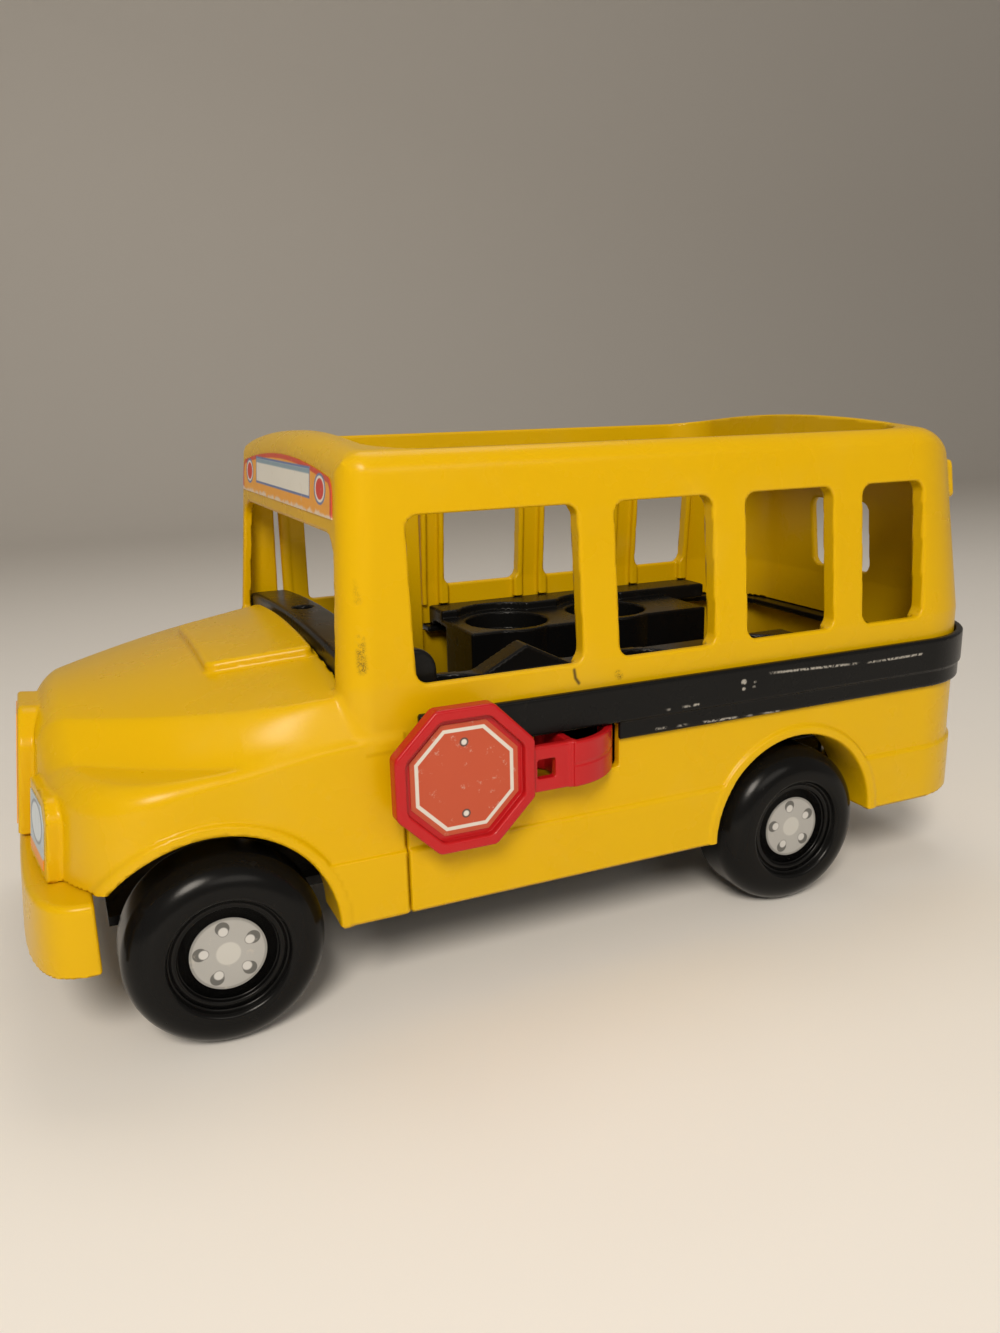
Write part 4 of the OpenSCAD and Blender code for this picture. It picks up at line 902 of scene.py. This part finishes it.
def sign_print():
    s = Surface("sign_print")
    sign_x, sign_z = SIGN_AT
    u, v = abs(s.x - sign_x), abs(s.z - sign_z)
    d = u.larger(v).larger((u + v) * COS_45)
    colour = s.mix(s.noise(40.0, 3.0), (0.45, 0.058, 0.020), (0.50, 0.078, 0.026))
    line = abs(d - 14.9).below(0.55, 0.12)
    colour = s.mix(line, colour, (0.66, 0.62, 0.56))
    # Two rivets, each a dark brown rim with a light centre; the light centre is a painted highlight on
    # the rivet head
    for dz in (-11.0, 11.0):
        r = s.ring(s.x - sign_x, s.z - sign_z - dz)
        colour = s.mix(r.below(1.4, 0.15), colour, (0.10, 0.05, 0.04))
        colour = s.mix(r.below(0.85, 0.2), colour, (0.66, 0.62, 0.58))
    return worn_print(s, colour)


def header_print():
    s = Surface("header_print")
    half, corner = 59.6, 9.6
    a = abs(s.y)
    over, up = (a - half).larger(0.0), (s.z - 155.0).larger(0.0)
    crown = (a / half).smaller(1.0)
    edge = s.ring(over, up) - corner + crown * crown * ROOF_CROWN
    colour = s.mix(s.noise(30.0, 3.0), (0.80, 0.34, 0.035), (0.86, 0.42, 0.05))
    colour = s.mix((edge * -1.0).below(1.7, 0.25), colour, (0.60, 0.07, 0.03))
    panel = (a - 40.3).larger(abs(s.z - 157.4) - 4.8)
    colour = s.mix(panel.below(0.0, 0.25), colour, (0.13, 0.20, 0.42))
    colour = s.mix(panel.below(-0.8, 0.2), colour, (0.78, 0.78, 0.74))
    strip = panel.below(-0.8, 0.2) * (s.z * -1.0).below(-160.0, 0.3)
    colour = s.mix(strip, colour, (0.24, 0.36, 0.46))
    lamp = s.ring((a - 52.2) / 6.6, (s.z - 156.3) / 4.6)
    colour = s.mix(lamp.below(1.0, 0.05), colour, (0.14, 0.20, 0.40))
    colour = s.mix(lamp.below(0.84, 0.05), colour, (0.80, 0.78, 0.74))
    colour = s.mix(lamp.below(0.68, 0.05), colour, (0.62, 0.045, 0.03))
    wear = (s.z + s.noise(180.0, 5.0, 0.7) * 7.0).below(152.9, 0.7)
    colour = s.mix(wear * 0.8, colour, (0.74, 0.68, 0.58))
    return worn_print(s, colour)


def grille_print():
    s = Surface("grille_print")
    a = abs(s.y)
    bars = (s.z * 1.9).sine()
    colour = s.mix(s.noise(30.0, 3.0), (0.78, 0.33, 0.03), (0.84, 0.40, 0.045))
    inner = (a - 13.8).larger(abs(s.z - 69.5) - 13.5)
    colour = s.mix(inner.below(0.0, 0.25), colour, (0.10, 0.12, 0.16))
    colour = s.mix(inner.below(-1.2, 0.25) * bars.below(0.1, 0.25), colour, (0.55, 0.60, 0.65))
    return worn_print(s, colour)


def lamp_print():
    s = Surface("lamp_print")
    a = abs(s.y)
    colour = s.mix(s.noise(50.0, 3.0), (0.36, 0.44, 0.52), (0.52, 0.60, 0.66))
    lens = s.ring((a - 46.5) / 9.2, (s.z - 66.5) / 6.2)
    colour = s.mix(lens.below(1.0, 0.05), colour, (0.20, 0.24, 0.30))
    colour = s.mix(lens.below(0.86, 0.08), colour, (0.66, 0.73, 0.78))
    flutes = lens.below(0.7, 0.3) * (s.y * 2.4).sine().below(0.0, 0.5)
    colour = s.mix(flutes * 0.4, colour, (0.45, 0.54, 0.62))
    colour = s.mix(s.z.below(58.6, 0.4), colour, (0.80, 0.30, 0.04))
    return worn_print(s, colour)


HUB_NUTS = 5
NUT_TURN = 98
NUT_RING, POCKET_RING = 7.0, 8.1


def hub_print(name, axle_x):
    s = Surface(name)
    u, v = s.x - axle_x, s.z - AXLE_Z
    r = s.ring(u, v)
    colour = s.mix(s.noise(60.0, 3.0), (0.38, 0.38, 0.37), (0.47, 0.47, 0.46))
    colour = s.mix((r * -1.0).below(-10.3, 0.2), colour, (0.29, 0.29, 0.28))
    colour = s.mix(r.below(3.5, 0.3), colour, (0.57, 0.57, 0.545))
    for k in range(HUB_NUTS):
        turn = math.radians(NUT_TURN + 360 / HUB_NUTS * k)
        nut = s.ring(u - NUT_RING * math.cos(turn), v - NUT_RING * math.sin(turn))
        pocket = s.ring(u - POCKET_RING * math.cos(turn), v - POCKET_RING * math.sin(turn))
        colour = s.mix(pocket.below(2.05, 0.15), colour, (0.13, 0.13, 0.125))
        colour = s.mix(nut.below(1.55, 0.12), colour, (0.20, 0.20, 0.195))
        colour = s.mix(nut.below(1.35, 0.2), colour, (0.62, 0.62, 0.61))
    s.feed("Metallic", 0.35)
    return worn_print(s, colour, 0.36)


def floor_paint():
    s = Surface("floor_paper")
    paper = s.mix(s.noise(3.0, 3.0), (0.84, 0.82, 0.79), (0.88, 0.86, 0.83))
    # The floor turns darker towards the back and stays dark up the backdrop: painted shade standing in
    # for light falling off with distance
    s.feed("Base Color", s.mix(s.y.below(700.0, 500.0), (0.62, 0.59, 0.55), paper))
    s.feed("Roughness", s.noise(40.0, 3.0).spread(0.55, 0.7))
    s.bump(s.noise(800.0, 2.0), 0.00003, 0.3)
    return s.material


gold = yellow()
dark = black("black_plastic", (0.0045, 0.0045, 0.0045), 0.27, True)
tyre = black("wheel_plastic", (0.0035, 0.0035, 0.0035), 0.2, False)
bright = steel()

# Each moulding: name, node, body, slot, material, then field, box to search and grid step
PIECES = (
    ("body_top", "upper_body", "bus", "yellow_plastic", gold,
     (upper_body, (-150, -83, 30), (191, 83, 173), 1.15)),
    ("body_base", "lower_body", "bus", "yellow_plastic", gold,
     (lower_body, (-46, -82.5, 30), (191.5, 82.5, 81), 1.0)),
    ("bumper", "front_bumper", "bus", "yellow_plastic", gold,
     (front_bumper, (-154, -79, 30.5), (-133, 79, 52.5), 0.8)),
    ("belt", "belt_rail", "bus", "black_plastic", dark,
     (belt_rail, (-42, -84, 74), (193.5, 84, 93), 0.8)),
    ("seats", "seat_tray", "bus", "black_plastic", dark,
     (seat_tray, (-59, -77, 51.5), (185, 77, 111), 1.1)),
    ("sign", "stop_sign", "sign_arm", "red_plastic", red(),
     (stop_sign, (-53, -92.5, 51.5), (28, -64, 97), 0.6)),
    ("door_leaf", "entry_door", "door", "yellow_plastic", gold,
     (entry_door, (-45, 71, 55), (17, 77, 150), 0.65)),
)
for name, node, body, slot, material, form in PIECES:
    piece = shape_piece(name, *form)
    piece.data.materials.clear()
    piece.data.materials.append(material)
    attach(piece, body)
    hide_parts(node)


# Wheels, from the dish over the tread to the hollow back
def curve(cx, cy, r, low, high, count):
    turns = [math.radians(low + (high - low) * i / count) for i in range(count + 1)]
    return [(cx + r * math.cos(t), cy + r * math.sin(t)) for t in turns]


WHEEL_DISH = (
    [(2.0, 4.1), (14.0, 4.1)]
    + curve(14.0, 3.6, 0.5, 90, 0, 4)
    + curve(15.0, 3.1, 0.5, 180, 270, 4)
    + [(16.6, 2.6)]
    + curve(16.6, 1.9, 0.7, 90, 20, 4)
    + curve(19.0, 1.6, 1.6, 190, 270, 8)
)
WHEEL_TREAD = (
    [(20.4, 0.0)]
    + curve(20.0, 9.0, 9.0, -84, 0, 20)
    + [(29.0, 14.0)]
    + curve(26.0, 19.0, 3.0, 0, 90, 8)
)
WHEEL_BACK = [
    (23.4, 22.0), (23.0, 21.6), (23.0, 7.6), (22.5, 7.1),
    (6.5, 7.1), (6.0, 7.6), (6.0, 22.0), (2.0, 22.0),
]
WHEEL = WHEEL_DISH + WHEEL_TREAD + WHEEL_BACK
for end, axle_x in AXLES:
    for side, way in (("left", -1), ("right", 1)):
        name = "tyre_%s_%s" % (end, side)
        piece = lathe(name, WHEEL, axle_x, WHEEL_FACE_Y, way, WHEEL_TURNS)
        piece.data.materials.append(tyre)
        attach(piece, "%s_wheels" % end)
        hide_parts("wheel_%s_%s" % (end, side))

# Pieces shown as the frame has them, with materials of their own
hubs = {end: hub_print("hub_" + end, axle_x) for end, axle_x in AXLES}
lamp = lamp_print()
KEPT = {
    "underside_pan": dark, "pan_screws": bright, "front_axle": bright, "rear_axle": bright,
    "sign_pin": bright, "door_pin": bright, "sign_label": sign_print(), "header_label": header_print(),
    "grille_label": grille_print(), "headlight_label_left": lamp, "headlight_label_right": lamp,
    "hub_front_left": hubs["front"], "hub_front_right": hubs["front"],
    "hub_rear_left": hubs["rear"], "hub_rear_right": hubs["rear"],
}
for node, material in KEPT.items():
    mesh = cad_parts[node].data
    mesh.materials.clear()
    mesh.materials.append(material)

# Floor that sweeps up into a backdrop
FLOOR_FRONT, FLOOR_BACK = -1.6, 1.2
SWEEP_R = 0.6
BACKDROP_TOP = 2.4
FLOOR_HALF_WIDTH = 3.0
rows = [(FLOOR_FRONT, 0.0), (FLOOR_BACK, 0.0)]
for angle in range(6, 91, 6):
    t = math.radians(angle)
    rows.append((FLOOR_BACK + SWEEP_R * math.sin(t), SWEEP_R - SWEEP_R * math.cos(t)))
rows.append((FLOOR_BACK + SWEEP_R, BACKDROP_TOP))
verts = [(sx, y, z) for y, z in rows for sx in (-FLOOR_HALF_WIDTH, FLOOR_HALF_WIDTH)]
quads = [(2 * i, 2 * i + 1, 2 * i + 3, 2 * i + 2) for i in range(len(rows) - 1)]
mesh = bpy.data.meshes.new("floor")
mesh.from_pydata(verts, [], quads)
mesh.shade_smooth()
mesh.materials.append(floor_paint())
add_object("floor", mesh)


# Soft light from the upper left, with weak lights from the front and from above
def soft_light(name, place, aim, size, power, tint):
    lamp = bpy.data.lights.new(name, "AREA")
    lamp.shape = "ELLIPSE"
    lamp.size, lamp.size_y = size
    lamp.energy = power
    lamp.color = tint
    aimed = (Vector(aim) - Vector(place)).to_track_quat("-Z", "Y").to_matrix()
    light = add_object(name, lamp)
    light.matrix_world = Matrix.Translation(place) @ aimed.to_4x4()


soft_light("key", (-0.55, -1.0, 0.95), (0.0, 0.0, 0.06), (0.5, 0.5), 14.5, (1.0, 0.915, 0.80))
soft_light("front", (0.25, -1.3, 0.75), (0.0, 0.0, 0.07), (0.9, 0.5), 2.5, (1.0, 0.93, 0.84))
soft_light("top", (0.25, 0.45, 1.3), (0.02, 0.0, 0.08), (0.9, 0.7), 3.0, (1.0, 0.94, 0.86))

world = bpy.data.worlds.new("studio")
world.use_nodes = True
sky = world.node_tree.nodes["Background"]
sky.inputs[0].default_value = (1.0, 0.93, 0.84, 1.0)
sky.inputs[1].default_value = 0.26
bpy.context.scene.world = world

# Camera set by the photograph's perspective: degrees, metres, and lens in millimetres
CAMERA_ANGLES = (23.793, 14.456, -1.324)
CAMERA_PLACE = (-0.15491, -0.35026, 0.18072)
CAMERA_LENS = 37.396
turn, tilt, roll = (math.radians(angle) for angle in CAMERA_ANGLES)
level = math.cos(tilt)
forward = Vector((math.sin(turn) * level, math.cos(turn) * level, -math.sin(tilt)))
right = Vector((math.cos(turn), -math.sin(turn), 0.0))
down = forward.cross(right)
across = right * math.cos(roll) - down * math.sin(roll)
drop = right * math.sin(roll) + down * math.cos(roll)
eye = bpy.data.cameras.new("camera")
eye.sensor_fit = "HORIZONTAL"
eye.sensor_width = 36.0
eye.lens = CAMERA_LENS
eye.clip_start, eye.clip_end = 0.01, 20.0
camera = add_object("camera", eye)
axes = Matrix((across, -drop, -forward)).transposed()
camera.matrix_world = Matrix.Translation(CAMERA_PLACE) @ axes.to_4x4()
bpy.context.scene.camera = camera
bpy.context.scene.view_settings.view_transform = "Standard"
